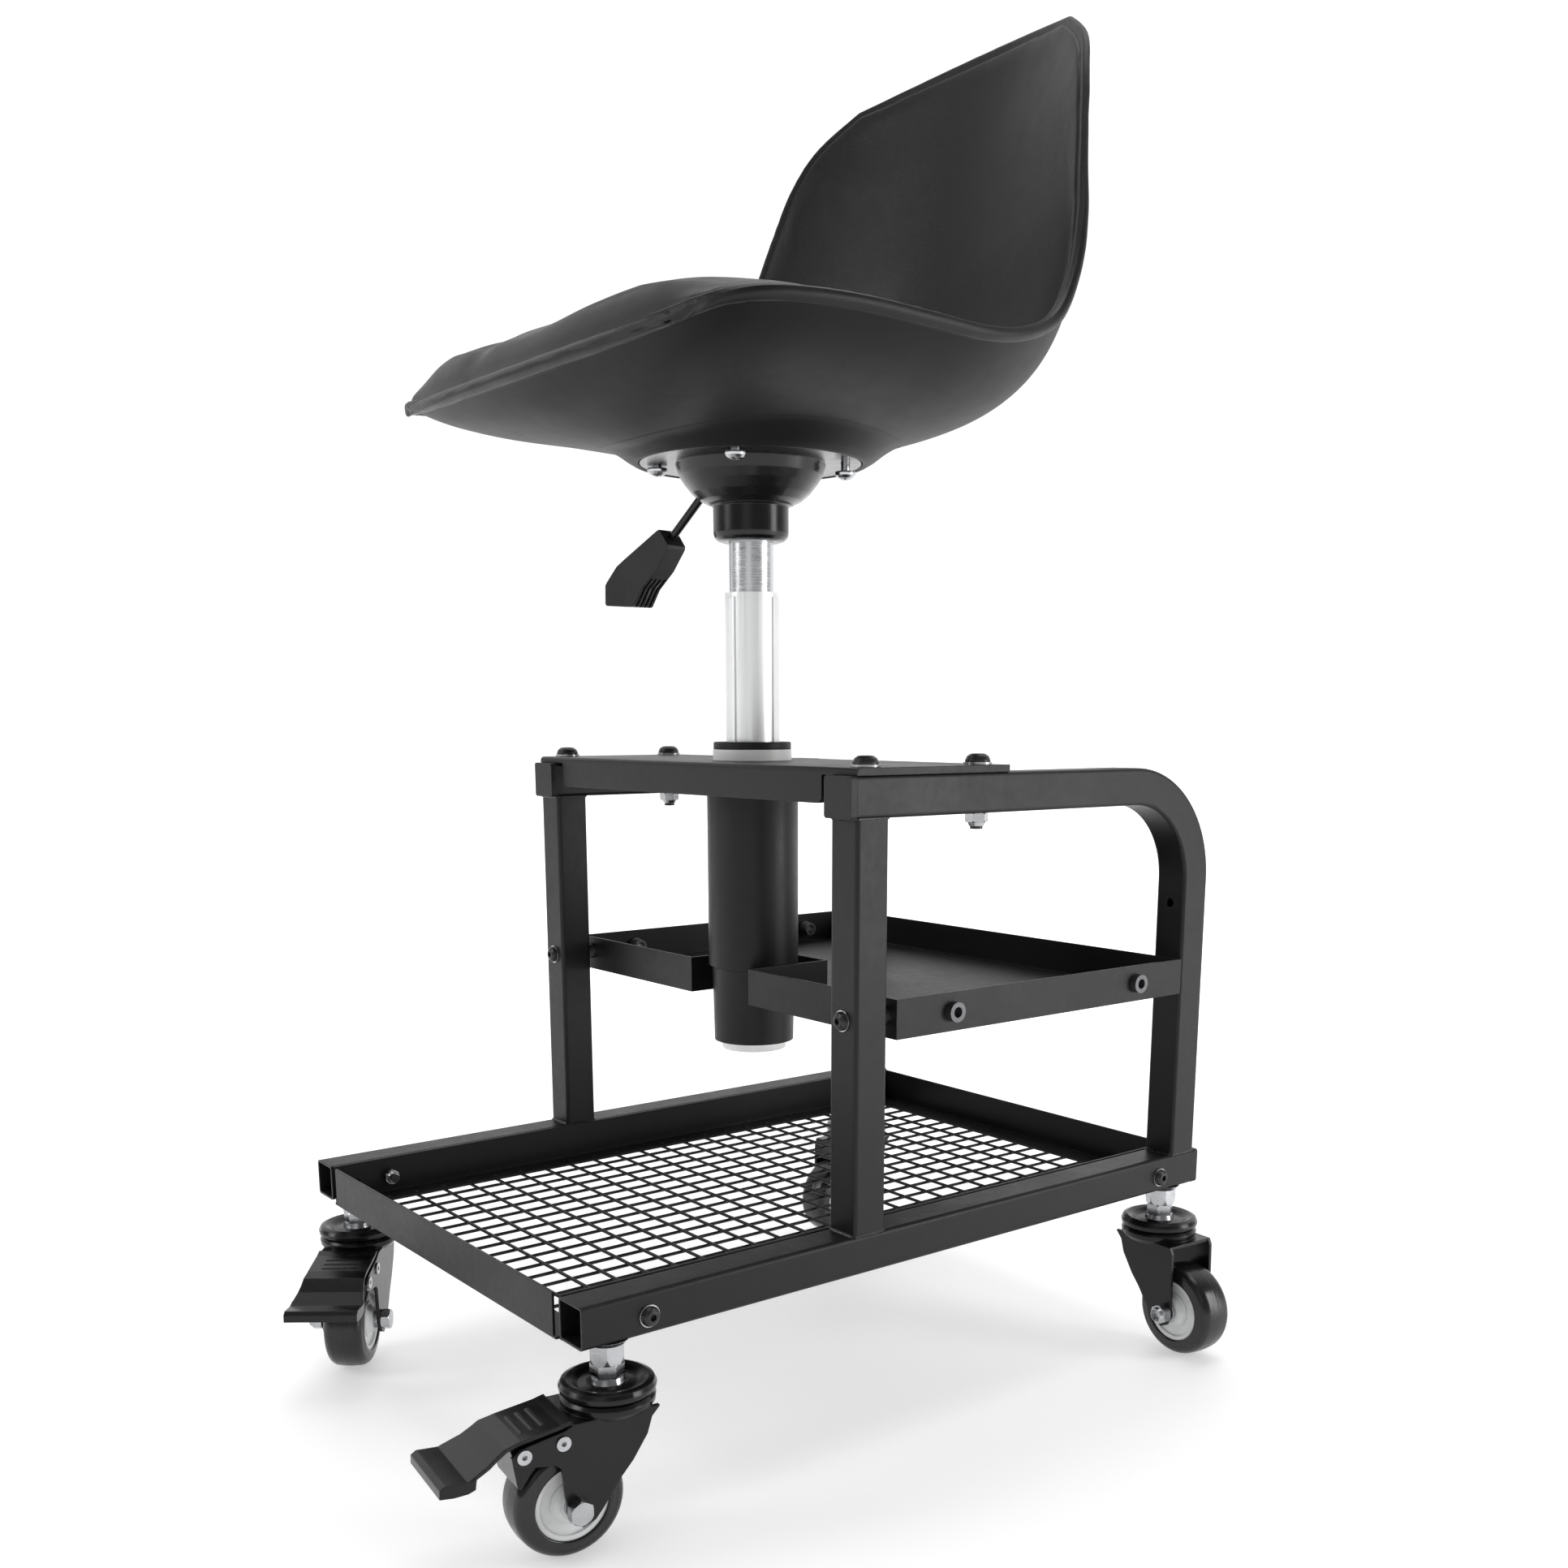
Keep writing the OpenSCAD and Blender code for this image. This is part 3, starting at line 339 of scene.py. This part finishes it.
def shape(x):
    return 0.62 * (np.sqrt(x * x + 0.05) - math.sqrt(0.05)) / (math.sqrt(1.05) - math.sqrt(0.05)) + 0.38 * x ** 8


def surf(u, v):
    c, e = at(ST_C, v), at(ST_E, v)
    g = np.sin(np.radians(78 * u)) / math.sin(math.radians(78))
    x = np.abs(g)
    w = ss(0, 0.16, v)
    f = x * x * (1 - w) + shape(x) * w
    w = ss(0.26, 0.5, v)
    f = f * (1 - w) + x ** 3.4 * w
    w = ss(0.6, 0.75, v)
    f = f * (1 - w) + x * x * w
    return np.stack([e[..., 0] * g, c[..., 0] + (e[..., 1] - c[..., 0]) * f, c[..., 1] + (e[..., 2] - c[..., 1]) * f], -1)


def nrm(u, v):
    h = 0.006
    du = surf(np.minimum(u + h, 1), v) - surf(np.maximum(u - h, -1), v)
    dv = surf(u, np.minimum(v + h, 1)) - surf(u, np.maximum(v - h, 0))
    n = np.cross(du, dv)
    return n / np.linalg.norm(n, axis=-1, keepdims=True)


def outline():
    t = np.linspace(-1, 1, 700)
    s = np.linspace(0, 1, 900)
    return np.concatenate([surf(t, np.zeros_like(t)), surf(np.ones_like(s), s), surf(t, np.ones_like(t)), surf(-np.ones_like(s), s)])


OUT = outline()


def rim_distance(P):
    P = P.reshape(-1, 3)
    d = np.empty(len(P))
    for a in range(0, len(P), 400):
        q = P[a:a + 400]
        d[a:a + 400] = np.sqrt(((q[:, None, :] - OUT[None]) ** 2).sum(-1).min(1))
    return d


# ------------------------------------------------------------------ seat shell with its wrapped rim
def build_shell():
    du = np.array([0, .004, .009, .015, .022, .030, .038, .047, .056, .066, .077, .089, .102, .118, .138, .16])
    half = np.concatenate([1 - du, np.linspace(0.835, 0.0, 34)])
    U = np.concatenate([-half, half[::-1][1:]])
    v0 = np.array([0, .0016, .004, .007, .0105, .0145, .019, .024, .0295, .0355, .042, .049, .057, .066])
    v1 = 1 - np.array([0, .0008, .002, .0035, .0052, .0073, .0098, .0125, .0155, .019, .023, .028, .034, .042])
    V = np.concatenate([v0, np.linspace(0.076, 0.948, 84), v1[::-1]])
    UU, VV = np.meshgrid(U, V)
    S, Nn = surf(UU, VV), nrm(UU, VV)
    D = rim_distance(S).reshape(UU.shape)
    # lip: 11.5 mm deep along the front, 8 mm along the sides, fading away up the back
    front = ss(0.10, 0.0, VV) * ss(1.02, 0.86, np.abs(UU))
    lip = 8.0 + 3.5 * front
    lip = lip * ss(0.80, 0.62, VV) + 5.0 * (1 - ss(0.80, 0.62, VV))
    r1 = np.minimum(4.6, lip * 0.5)
    top = np.where(D < r1, -(r1 - np.sqrt(np.clip(r1 ** 2 - (r1 - D) ** 2, 0, None))), 0.0)
    r2 = np.minimum(3.4, lip * 0.45)
    bot = -lip + np.where(D < r2, r2 - np.sqrt(np.clip(r2 ** 2 - (r2 - D) ** 2, 0, None)), 0.0)
    # the wrap ends in a parting line, and the shell goes on thinner
    wide = 6.2
    step = ss(wide - 0.2, wide + 2.0, D)
    inner = -4.5 - 0.8 * np.exp(-((D - wide - 3.0) / 1.5) ** 2) * 0
    bot = bot * (1 - step) + inner * step
    # soft folds in the skin along the rim
    fold = vnoise(S, 1 / 14.0) * 0.22 + vnoise(S + 91, 1 / 5.0) * 0.10
    skin = ss(14, 6, D)
    T = S + Nn * (top + fold * skin * 0.45)[..., None]
    B = S + Nn * (bot + fold * skin * ss(wide + 1, wide - 1, D) * 0.8)[..., None]
    nu, nv = len(U), len(V)
    # edge ring at the middle of the lip's height
    mid = -(r1 + (lip - r2)) / 2
    n = nu * nv
    verts = np.concatenate([T.reshape(-1, 3), B.reshape(-1, 3)])
    faces = grid_faces(nu, nv) + grid_faces(nu, nv, n, flip=True)
    ring = [(0, i) for i in range(nu)] + [(j, nu - 1) for j in range(1, nv)] + [(nv - 1, i) for i in range(nu - 2, -1, -1)] + [(j, 0) for j in range(nv - 2, 0, -1)]
    # outward direction of the rim, for a slight belly on the lip
    idx = [j * nu + i for j, i in ring]
    Sf, Nf = S.reshape(-1, 3), Nn.reshape(-1, 3)
    ringP = Sf[idx]
    tang = np.roll(ringP, -1, 0) - np.roll(ringP, 1, 0)
    tang /= np.linalg.norm(tang, axis=1, keepdims=True)
    outw = np.cross(tang, Nf[idx])
    outw /= np.linalg.norm(outw, axis=1, keepdims=True)
    lipf, r1f, r2f = lip.reshape(-1)[idx], r1.reshape(-1)[idx], r2.reshape(-1)[idx]
    k = 3
    rows_ = []
    for q in range(1, k + 1):
        t = q / (k + 1)
        h = -(r1f + (lipf - r2f - r1f) * t)
        rows_.append(ringP + Nf[idx] * h[:, None] + outw * (0.35 * math.sin(math.pi * t)))
    base = 2 * n
    verts = np.concatenate([verts] + rows_)
    m = len(ring)
    chain = [idx] + [[base + q * m + i for i in range(m)] for q in range(k)] + [[n + x for x in idx]]
    for a, b in zip(chain[:-1], chain[1:]):
        for i in range(m):
            faces.append((a[i], b[i], b[(i + 1) % m], a[(i + 1) % m]))
    Df = D.reshape(-1)
    fm = []
    for f in faces:
        if max(f) < n:
            fm.append(0)
        elif min(f) >= n and max(f) < 2 * n:
            fm.append(0 if np.mean([Df[x - n] for x in f]) < wide + 0.9 else 1)
        else:
            fm.append(0)
    ob = make("seat_shell_skin", row(verts), faces, [M["seat_vinyl"], M["shell_plastic"]], None, True, fm)
    fix_normals(ob)
    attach(ob, "seat")
    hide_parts("seat_shell")
    return ob


shell = build_shell()


def build_boss():
    bm = bmesh.new()
    bm.from_mesh(shell.data)
    tree = BVHTree.FromBMesh(bm)
    bm.free()
    prof = [(74.7, 628.3), (74.75, 625.4), (75.0, 624.8), (75.6, 624.4), (76.8, 624.25), (78.0, 624.45), (79.2, 625.0),
            (80.8, 625.9), (82.6, 626.9), (84.6, 628.0), (87, 629.2), (90, 630.4), (93, 631.2), (96, 631.8), (99, 632.2), (102, 632.6), (105, 633)]
    na = 144
    V = []
    for r, z in prof:
        for a in range(na):
            t = 2 * math.pi * a / na
            x, y = r * math.cos(t), r * math.sin(t)
            p = row([x, y, 560])
            hit = tree.ray_cast(Vector(p), Vector((0, 0, 1)))[0]
            zs = hit.z * 1000 if hit else z
            w = float(ss(83, 101, r))
            cone = min(z, zs - 0.05) if r > 80 else z
            zz = cone * (1 - w) + (zs - 0.12) * w
            if r >= 104:
                zz = zs + 0.8
            V.append((x, y, zz))
    ob = make("seat_boss_skin", row(V), grid_faces(na, len(prof), wrap_u=True), [M["shell_plastic"]], None)
    fix_normals(ob)
    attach(ob, "seat")
    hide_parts("seat_boss")
    return ob


build_boss()


# ------------------------------------------------------------------ upholstered pad: formed blank, then blown up as cloth
def pad_z(x, y):
    a = np.abs(x)
    z = np.where(y < -110, 694 - 2.8 * ((-110 - y) / 28) ** 2, 694 + (660 - 694) * ss(-110, 60, y))
    z = z + (2.7 * np.exp(-((a - 78) / 47) ** 2) - 3.6 * np.exp(-((x + 62) / 15) ** 2)) * ss(20, -80, y)
    return z + 1.3 * ss(80, 130, a) - 11.5 * ss(130, 190, a) - 1.5 * x / 160 * ss(0, -130, y) - 15.4 * ss(100, 170, a) * ss(-100, -20, y)


def build_pad():
    U = np.concatenate([np.linspace(-0.985, -0.80, 16), np.linspace(-0.78, 0.78, 78), np.linspace(0.80, 0.985, 16)])
    V = np.concatenate([np.linspace(0.004, 0.11, 22), np.linspace(0.118, 0.93, 90), np.linspace(0.938, 0.992, 14)])
    UU, VV = np.meshgrid(U, V)
    S, Nn = surf(UU, VV), nrm(UU, VV)
    D = rim_distance(S).reshape(UU.shape)
    back = ss(0.45, 0.62, VV)
    start = 4.2 + 1.6 * back
    R = 15.0 * (1 - back) + 13.0 * back
    t = np.clip((D - start) / R, 0, 1)
    roll = np.sqrt(np.clip(1 - (1 - t) ** 2, 0, 1))
    hump = np.maximum(pad_z(S[..., 0], S[..., 1]) - S[..., 2] - 1, 3) * ss(0.63, 0.48, VV)
    below = np.where(D < start, -2.3, 0.0)
    h = roll * hump
    T = S + Nn * (below + 0.2 + roll * 2.4)[..., None] + np.array([0, 0, 1.0]) * h[..., None]
    B = S - Nn * 2.6
    nu, nv = len(U), len(V)
    n = nu * nv
    verts = np.concatenate([T.reshape(-1, 3), B.reshape(-1, 3)])
    faces = grid_faces(nu, nv) + grid_faces(nu, nv, n, flip=True)
    for i in range(nu - 1):
        faces.append((i, n + i, n + i + 1, i + 1))
        k = (nv - 1) * nu
        faces.append((k + i, k + i + 1, n + k + i + 1, n + k + i))
    for j in range(nv - 1):
        faces.append((j * nu, (j + 1) * nu, n + (j + 1) * nu, n + j * nu))
        k = nu - 1
        faces.append((j * nu + k, n + j * nu + k, n + (j + 1) * nu + k, (j + 1) * nu + k))
    ob = make("seat_cushion", row(verts), faces, [M["seat_vinyl"]], None)
    fix_normals(ob)
    free = np.concatenate([(t * (1 - 0.55 * back)).reshape(-1), np.zeros(n)])
    blow(ob, free, 3.2)
    # soft hand-formed folds and stretch lines, strongest where the pad turns down to its rim
    me = ob.data
    co = np.empty(len(me.vertices) * 3)
    me.vertices.foreach_get("co", co)
    co = co.reshape(-1, 3)
    mm = (co - np.array([AX, AY, 0])) * 1000
    Pn = np.concatenate([Nn.reshape(-1, 3)] * 2)
    fold = vnoise(mm, 1 / 16.0) * 0.28 + vnoise(mm + 37, 1 / 6.0) * 0.10
    pull = np.concatenate([(t * (1 - t) * 4).reshape(-1), np.zeros(n)])
    pucker = np.sin(mm[:, 0] / 3.4 + 2.2 * vnoise(mm + 11, 1 / 22.0)) * 0.16
    frontness = np.concatenate([ss(0.16, 0.02, VV).reshape(-1)] * 2)
    co = co + Pn * ((fold * (0.35 + 0.65 * pull) + pucker * pull * frontness) * (np.concatenate([roll.reshape(-1), np.zeros(n)])) / 1000)[:, None]
    me.vertices.foreach_set("co", co.ravel())
    me.update()
    sub = ob.modifiers.new("smooth", "SUBSURF")
    sub.levels = sub.render_levels = 1
    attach(ob, "seat")
    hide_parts("seat_pad")
    return ob


def blow(ob, free, cap_mm):
    """Cloth under pressure, held where free is 0, and never further than cap_mm from the formed blank."""
    me = ob.data
    n = len(me.vertices)
    rest = np.empty(n * 3)
    me.vertices.foreach_get("co", rest)
    rest = rest.reshape(-1, 3)
    vg = ob.vertex_groups.new(name="hold")
    w = 1 - np.clip(free, 0, 1)
    for q in range(0, 11):
        ids = np.where(np.round(w * 10).astype(int) == q)[0]
        if len(ids):
            vg.add([int(i) for i in ids], q / 10, "REPLACE")
    md = ob.modifiers.new("cloth", "CLOTH")
    st = md.settings
    st.quality = 6
    st.mass = 0.4
    st.tension_stiffness = st.compression_stiffness = 18
    st.shear_stiffness = 8
    st.bending_stiffness = 2.5
    st.use_pressure = True
    st.uniform_pressure_force = 4.0
    st.vertex_group_mass = "hold"
    st.pin_stiffness = 1.0
    st.effector_weights.gravity = 0
    md.collision_settings.use_collision = False
    scene.frame_start, scene.frame_end = 1, 20
    md.point_cache.frame_start, md.point_cache.frame_end = 1, 20
    for f in range(1, 21):
        scene.frame_set(f)
    dg = bpy.context.evaluated_depsgraph_get()
    ev = ob.evaluated_get(dg).to_mesh()
    new = np.empty(n * 3)
    ev.vertices.foreach_get("co", new)
    new = new.reshape(-1, 3)
    ob.evaluated_get(dg).to_mesh_clear()
    ob.modifiers.remove(md)
    scene.frame_set(1)
    d = new - rest
    ln = np.linalg.norm(d, axis=1, keepdims=True)
    cap = cap_mm / 1000
    k = np.where(ln > 1e-9, cap * np.tanh(ln / cap) / np.maximum(ln, 1e-9), 0)
    d = d * k * np.clip(free, 0, 1)[:, None]
    me.vertices.foreach_set("co", (rest + d).ravel())
    me.update()
    print("cloth moved up to mm", float(np.linalg.norm(d, axis=1).max() * 1000))


build_pad()


# ------------------------------------------------------------------ wheels: moulded tread with its flash line
def revolve(name, prof, centre, axis, mats, body, na=128, closed=True):
    a = Vector(axis).normalized()
    e1 = a.orthogonal().normalized()
    e2 = a.cross(e1)
    A, E1, E2 = np.array(a), np.array(e1), np.array(e2)
    V = []
    for (r, h) in prof:
        for i in range(na):
            t = 2 * math.pi * i / na
            V.append(np.array(centre) + A * h / 1000 + (E1 * math.cos(t) + E2 * math.sin(t)) * r / 1000)
    f = grid_faces(na, len(prof), wrap_u=True)
    if closed:
        k = (len(prof) - 1) * na
        for i in range(na):
            f.append((k + i, k + (i + 1) % na, (i + 1) % na, i))
    ob = make(name, V, f, mats, None)
    fix_normals(ob)
    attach(ob, body)
    return ob


def tread_profile():
    R = 33.25
    pts = [(22.02, -13.0), (22.3, -13.9), (23.2, -14.1), (24.6, -13.95), (25.3, -13.75), (26.4, -13.55)]
    for i in range(0, 15):
        t = i / 14
        ang = math.radians(90 * t)
        pts.append((26.6 + 6.25 * math.sin(ang) ** 0.9, -13.5 + 7.2 * (1 - math.cos(ang))))
    pts += [(32.98, -5.2), (33.08, -3.8), (33.15, -2.4), (33.18, -1.2), (33.19, -0.55), (33.25, -0.28)]
    left = pts + [(33.25, 0.0)]
    right = [(r, -h) for r, h in reversed(pts)]
    return left + right


for c in ("fl", "fr", "rl", "rr"):
    lo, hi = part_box("tread_" + c)
    j = next(x for x in frame["joints"] if x["name"] == "roll_" + c)
    ob = revolve("tread_moulding_" + c, tread_profile(), tuple(j["pos_m"]), j["axis"], [M["tread_polyurethane"]], "wheel_" + c)
    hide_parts("tread_" + c)


# ------------------------------------------------------------------ weld runs: rippled beads
def bead(path, r, pitch, up, closed=False, seed=0, squash=0.62):
    """Stacked-coin weld along a path in mm: half-round section with ripples and a wandering edge."""
    P = np.asarray(path, float)
    if closed:
        P = np.concatenate([P, P[:1]])
    seg = np.linalg.norm(np.diff(P, axis=0), axis=1)
    s = np.concatenate([[0], np.cumsum(seg)])
    L = s[-1]
    n = max(int(L / 0.42), 8)
    q = np.linspace(0, L, n, endpoint=not closed)
    C = np.stack([np.interp(q, s, P[:, i]) for i in range(3)], 1)
    if closed:
        T = np.roll(C, -1, 0) - np.roll(C, 1, 0)
    else:
        T = np.gradient(C, axis=0)
    T /= np.linalg.norm(T, axis=1, keepdims=True)
    Uv = np.asarray(up, float)
    if Uv.ndim == 1:
        Uv = np.tile(Uv, (n, 1))
    else:
        Uv = np.stack([np.interp(q, s, np.concatenate([Uv, Uv[:1]])[:, i] if closed else Uv[:, i]) for i in range(3)], 1)
    Uv = Uv - T * (Uv * T).sum(1, keepdims=True)
    Uv /= np.linalg.norm(Uv, axis=1, keepdims=True)
    W = np.cross(T, Uv)
    wob = vnoise(C + seed * 13.7, 1 / 4.0)
    rip = np.abs(np.sin(math.pi * q / pitch + 0.8 * wob))
    rr = r * (0.84 + 0.2 * rip + 0.12 * wob)
    if not closed:
        rr *= np.sqrt(np.clip(np.minimum(q, L - q) / (r * 0.9), 0.02, 1))
    k = 10
    V = []
    for a in range(k):
        t = 2 * math.pi * a / k
        V.append(C + (W * math.cos(t) + Uv * math.sin(t) * squash) * rr[:, None])
    V = np.stack(V, 1).reshape(-1, 3)
    F = grid_faces(k, n + (1 if closed else 0), wrap_u=True)
    if closed:
        F = [tuple(x % (n * k) for x in f) for f in F]
    else:
        F += [tuple(range(k))[::-1], tuple((n - 1) * k + x for x in range(k))]
    return V, F


def join_beads(name, parts, mats, body):
    V, F, o = [], [], 0
    for v, f in parts:
        V.append(v)
        F += [tuple(o + x for x in q) for q in f]
        o += len(v)
    ob = make(name, row(np.concatenate(V)), F, mats, None)
    fix_normals(ob)
    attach(ob, body)
    return ob


def ring_path(r, z, n=120):
    t = np.linspace(0, 2 * math.pi, n, endpoint=False)
    return np.stack([r * np.cos(t), r * np.sin(t), np.full(n, float(z))], 1)


parts = []
h = 12.5
for s in (-1, 1):
    for (y, z, dz) in ((-50, 146, 1), (252.5, 146, 1), (-50, 401, -1)):
        x = s * 175
        for (p, q, up) in (((x - h + 0.6, y - h), (x + h - 0.6, y - h), (0, -1, dz)), ((x - h + 0.6, y + h), (x + h - 0.6, y + h), (0, 1, dz))):
            if y > 200 and up[1] > 0:
                continue
            parts.append(bead([(p[0], p[1], z), (q[0], q[1], z)], 2.1, 2.1, up, seed=len(parts)))
        for sx in (-1, 1):
            parts.append(bead([(x + sx * (h - 0.55), y - h + 0.5, z), (x + sx * (h - 0.55), y + h - 0.5, z)], 0.95, 1.8, (sx, 0, 0), seed=len(parts)))
rp = ring_path(30.2, 288.1)
parts.append(bead(rp, 1.7, 2.2, np.stack([rp[:, 0], rp[:, 1], -20 + 0 * rp[:, 2]], 1), closed=True, seed=50))
rp = ring_path(32.6, 425.4)
parts.append(bead(rp, 1.9, 2.4, np.stack([rp[:, 0], rp[:, 1], -30 + 0 * rp[:, 2]], 1), closed=True, seed=51))
welds = join_beads("weld_runs", parts, [M_weld], "frame")
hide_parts("weld_beads")

# weld between hub and dish, lumpy under the gloss paint
rp = ring_path(27.6, 600.6)
hubweld = join_beads("hub_weld", [bead(rp, 1.55, 3.1, np.stack([rp[:, 0], rp[:, 1], -22 + 0 * rp[:, 2]], 1), closed=True, seed=60)],
                     [M["gloss_black_steel"]], "seat")

# spot welds where the wires sit on the tray's lips
def dot(c, r, hgt, seed):
    V, F = [(c[0], c[1], c[2] + hgt)], []
    for k, (f, z) in enumerate(((0.55, 0.82), (0.85, 0.5), (1.0, 0.0))):
        for a in range(10):
            t = 2 * math.pi * a / 10
            rr = r * f * (1 + 0.12 * math.sin(3 * t + seed))
            V.append((c[0] + rr * math.cos(t), c[1] + rr * math.sin(t), c[2] + hgt * z))
    for a in range(10):
        b = (a + 1) % 10
        F.append((0, 1 + a, 1 + b))
        F.append((1 + a, 11 + a, 11 + b, 1 + b))
        F.append((11 + a, 21 + a, 21 + b, 11 + b))
    F.append(tuple(21 + a for a in range(9, -1, -1)))
    return np.array(V), F


low_z, wire_r = 119.2, 1.1
dots = []
za = low_z - wire_r - 0.03
ny = int(488 // 21.3)
for i in range(ny + 1):
    y = -255 + 15 + i * 21.3
    for s in (-1, 1):
        dots.append(dot((s * 149.5, y, low_z + 1.45), 2.3, 0.55, i))
spots = join_beads("wire_spot_welds", dots, [M_weld], "frame")

# ------------------------------------------------------------------ softened edges on CAD pieces, used here on the moulded lever grip only
def soften(name, width, seg=2, angle=32):
    ob = nodes[name]
    w = ob.modifiers.new("weld", "WELD")
    w.merge_threshold = 0.00002
    b = ob.modifiers.new("edge", "BEVEL")
    b.width = width
    b.segments = seg
    b.limit_method = "ANGLE"
    b.angle_limit = math.radians(angle)
    b.use_clamp_overlap = True
    b.harden_normals = False
    b.miter_outer = "MITER_ARC"


for nm in ("lever_grip",):
    soften(nm, 0.0007)

# ------------------------------------------------------------------ camera, light, floor
cam = bpy.data.cameras.new("view")
cam_ob = bpy.data.objects.new("view", cam)
scene.collection.objects.link(cam_ob)
cam.sensor_width = 36
cam.lens = 35.976
cam.shift_x = -0.00968
cam.shift_y = 0.1651
cam.clip_start, cam.clip_end = 0.02, 60
cam_ob.location = (0.87581, -0.62105, 0.45785)
cam_ob.rotation_euler = (math.radians(78.35), 0, math.radians(51.94))
scene.camera = cam_ob

world = bpy.data.worlds.new("studio")
scene.world = world
world.use_nodes = True
wt = world.node_tree
wt.nodes.clear()
wo = wt.nodes.new("ShaderNodeOutputWorld")
bg = wt.nodes.new("ShaderNodeBackground")
tc = wt.nodes.new("ShaderNodeTexCoord")
dp = wt.nodes.new("ShaderNodeVectorMath")
dp.operation = "DOT_PRODUCT"
dp.inputs[1].default_value = (-0.787, 0.617, 0.25)
mr = wt.nodes.new("ShaderNodeMapRange")
mr.interpolation_type = "SMOOTHSTEP"
mr.inputs["From Min"].default_value = 0.15
mr.inputs["From Max"].default_value = 0.72
mr.inputs["To Min"].default_value = 0.22
mr.inputs["To Max"].default_value = 1.06
wt.links.new(tc.outputs["Generated"], dp.inputs[0])
wt.links.new(dp.outputs["Value"], mr.inputs["Value"])
wt.links.new(mr.outputs[0], bg.inputs["Strength"])
bg.inputs["Color"].default_value = (1, 1, 1, 1)
wt.links.new(bg.outputs[0], wo.inputs[0])


def area(name, loc, target, size, power, size_y=None):
    L = bpy.data.lights.new(name, "AREA")
    L.energy = power
    L.size = size
    if size_y:
        L.shape = "RECTANGLE"
        L.size_y = size_y
    o = bpy.data.objects.new(name, L)
    scene.collection.objects.link(o)
    o.location = loc
    d = Vector(target) - Vector(loc)
    o.rotation_euler = d.to_track_quat("-Z", "Y").to_euler()
    return o


area("key", (-1.1, -2.5, 1.7), (0, 0, 0.55), 0.9, 24, 1.5)
area("side", (1.9, 1.5, 0.75), (0, 0, 0.5), 0.7, 22, 1.5)
area("top", (0.1, 0.2, 2.7), (0, 0, 0.4), 1.6, 20)
area("fill", (1.6, -1.9, 1.3), (0, 0, 0.5), 1.2, 2.5, 1.2)

fm = Mat("pale_floor")
fcol = fm.mix(fm.rng(fm.noise(1.4, 3, 0.5), 0.3, 0.7, 0, 1), (0.80, 0.80, 0.80, 1), (0.84, 0.84, 0.84, 1))
fm.l(fcol, fm.b.inputs["Base Color"])
fm.l(fm.rng(fm.noise(3.0, 3, 0.5), 0.3, 0.7, 0.55, 0.65), fm.b.inputs["Roughness"])
# painted light: the floor glows, less near the stool and more away from it, which paints shade around the stool and a
# glowing bright backdrop
fdist = fm.n("ShaderNodeVectorMath", operation="LENGTH")
fm.l(fm.co, fdist.inputs[0])
fm.b.inputs["Emission Color"].default_value = (1, 1, 1, 1)
fm.l(fm.rng(fdist.outputs["Value"], 0.45, 1.7, 0.42, 0.97, True), fm.b.inputs["Emission Strength"])
R_ = 14.0
fl = make("floor", [(-R_, -R_, -0.0008), (R_, -R_, -0.0008), (R_, R_, -0.0008), (-R_, R_, -0.0008)], [(0, 1, 2, 3)], [fm.m], None)

scene.view_settings.view_transform = "Standard"
scene.view_settings.look = "None"
scene.view_settings.exposure = 0.0
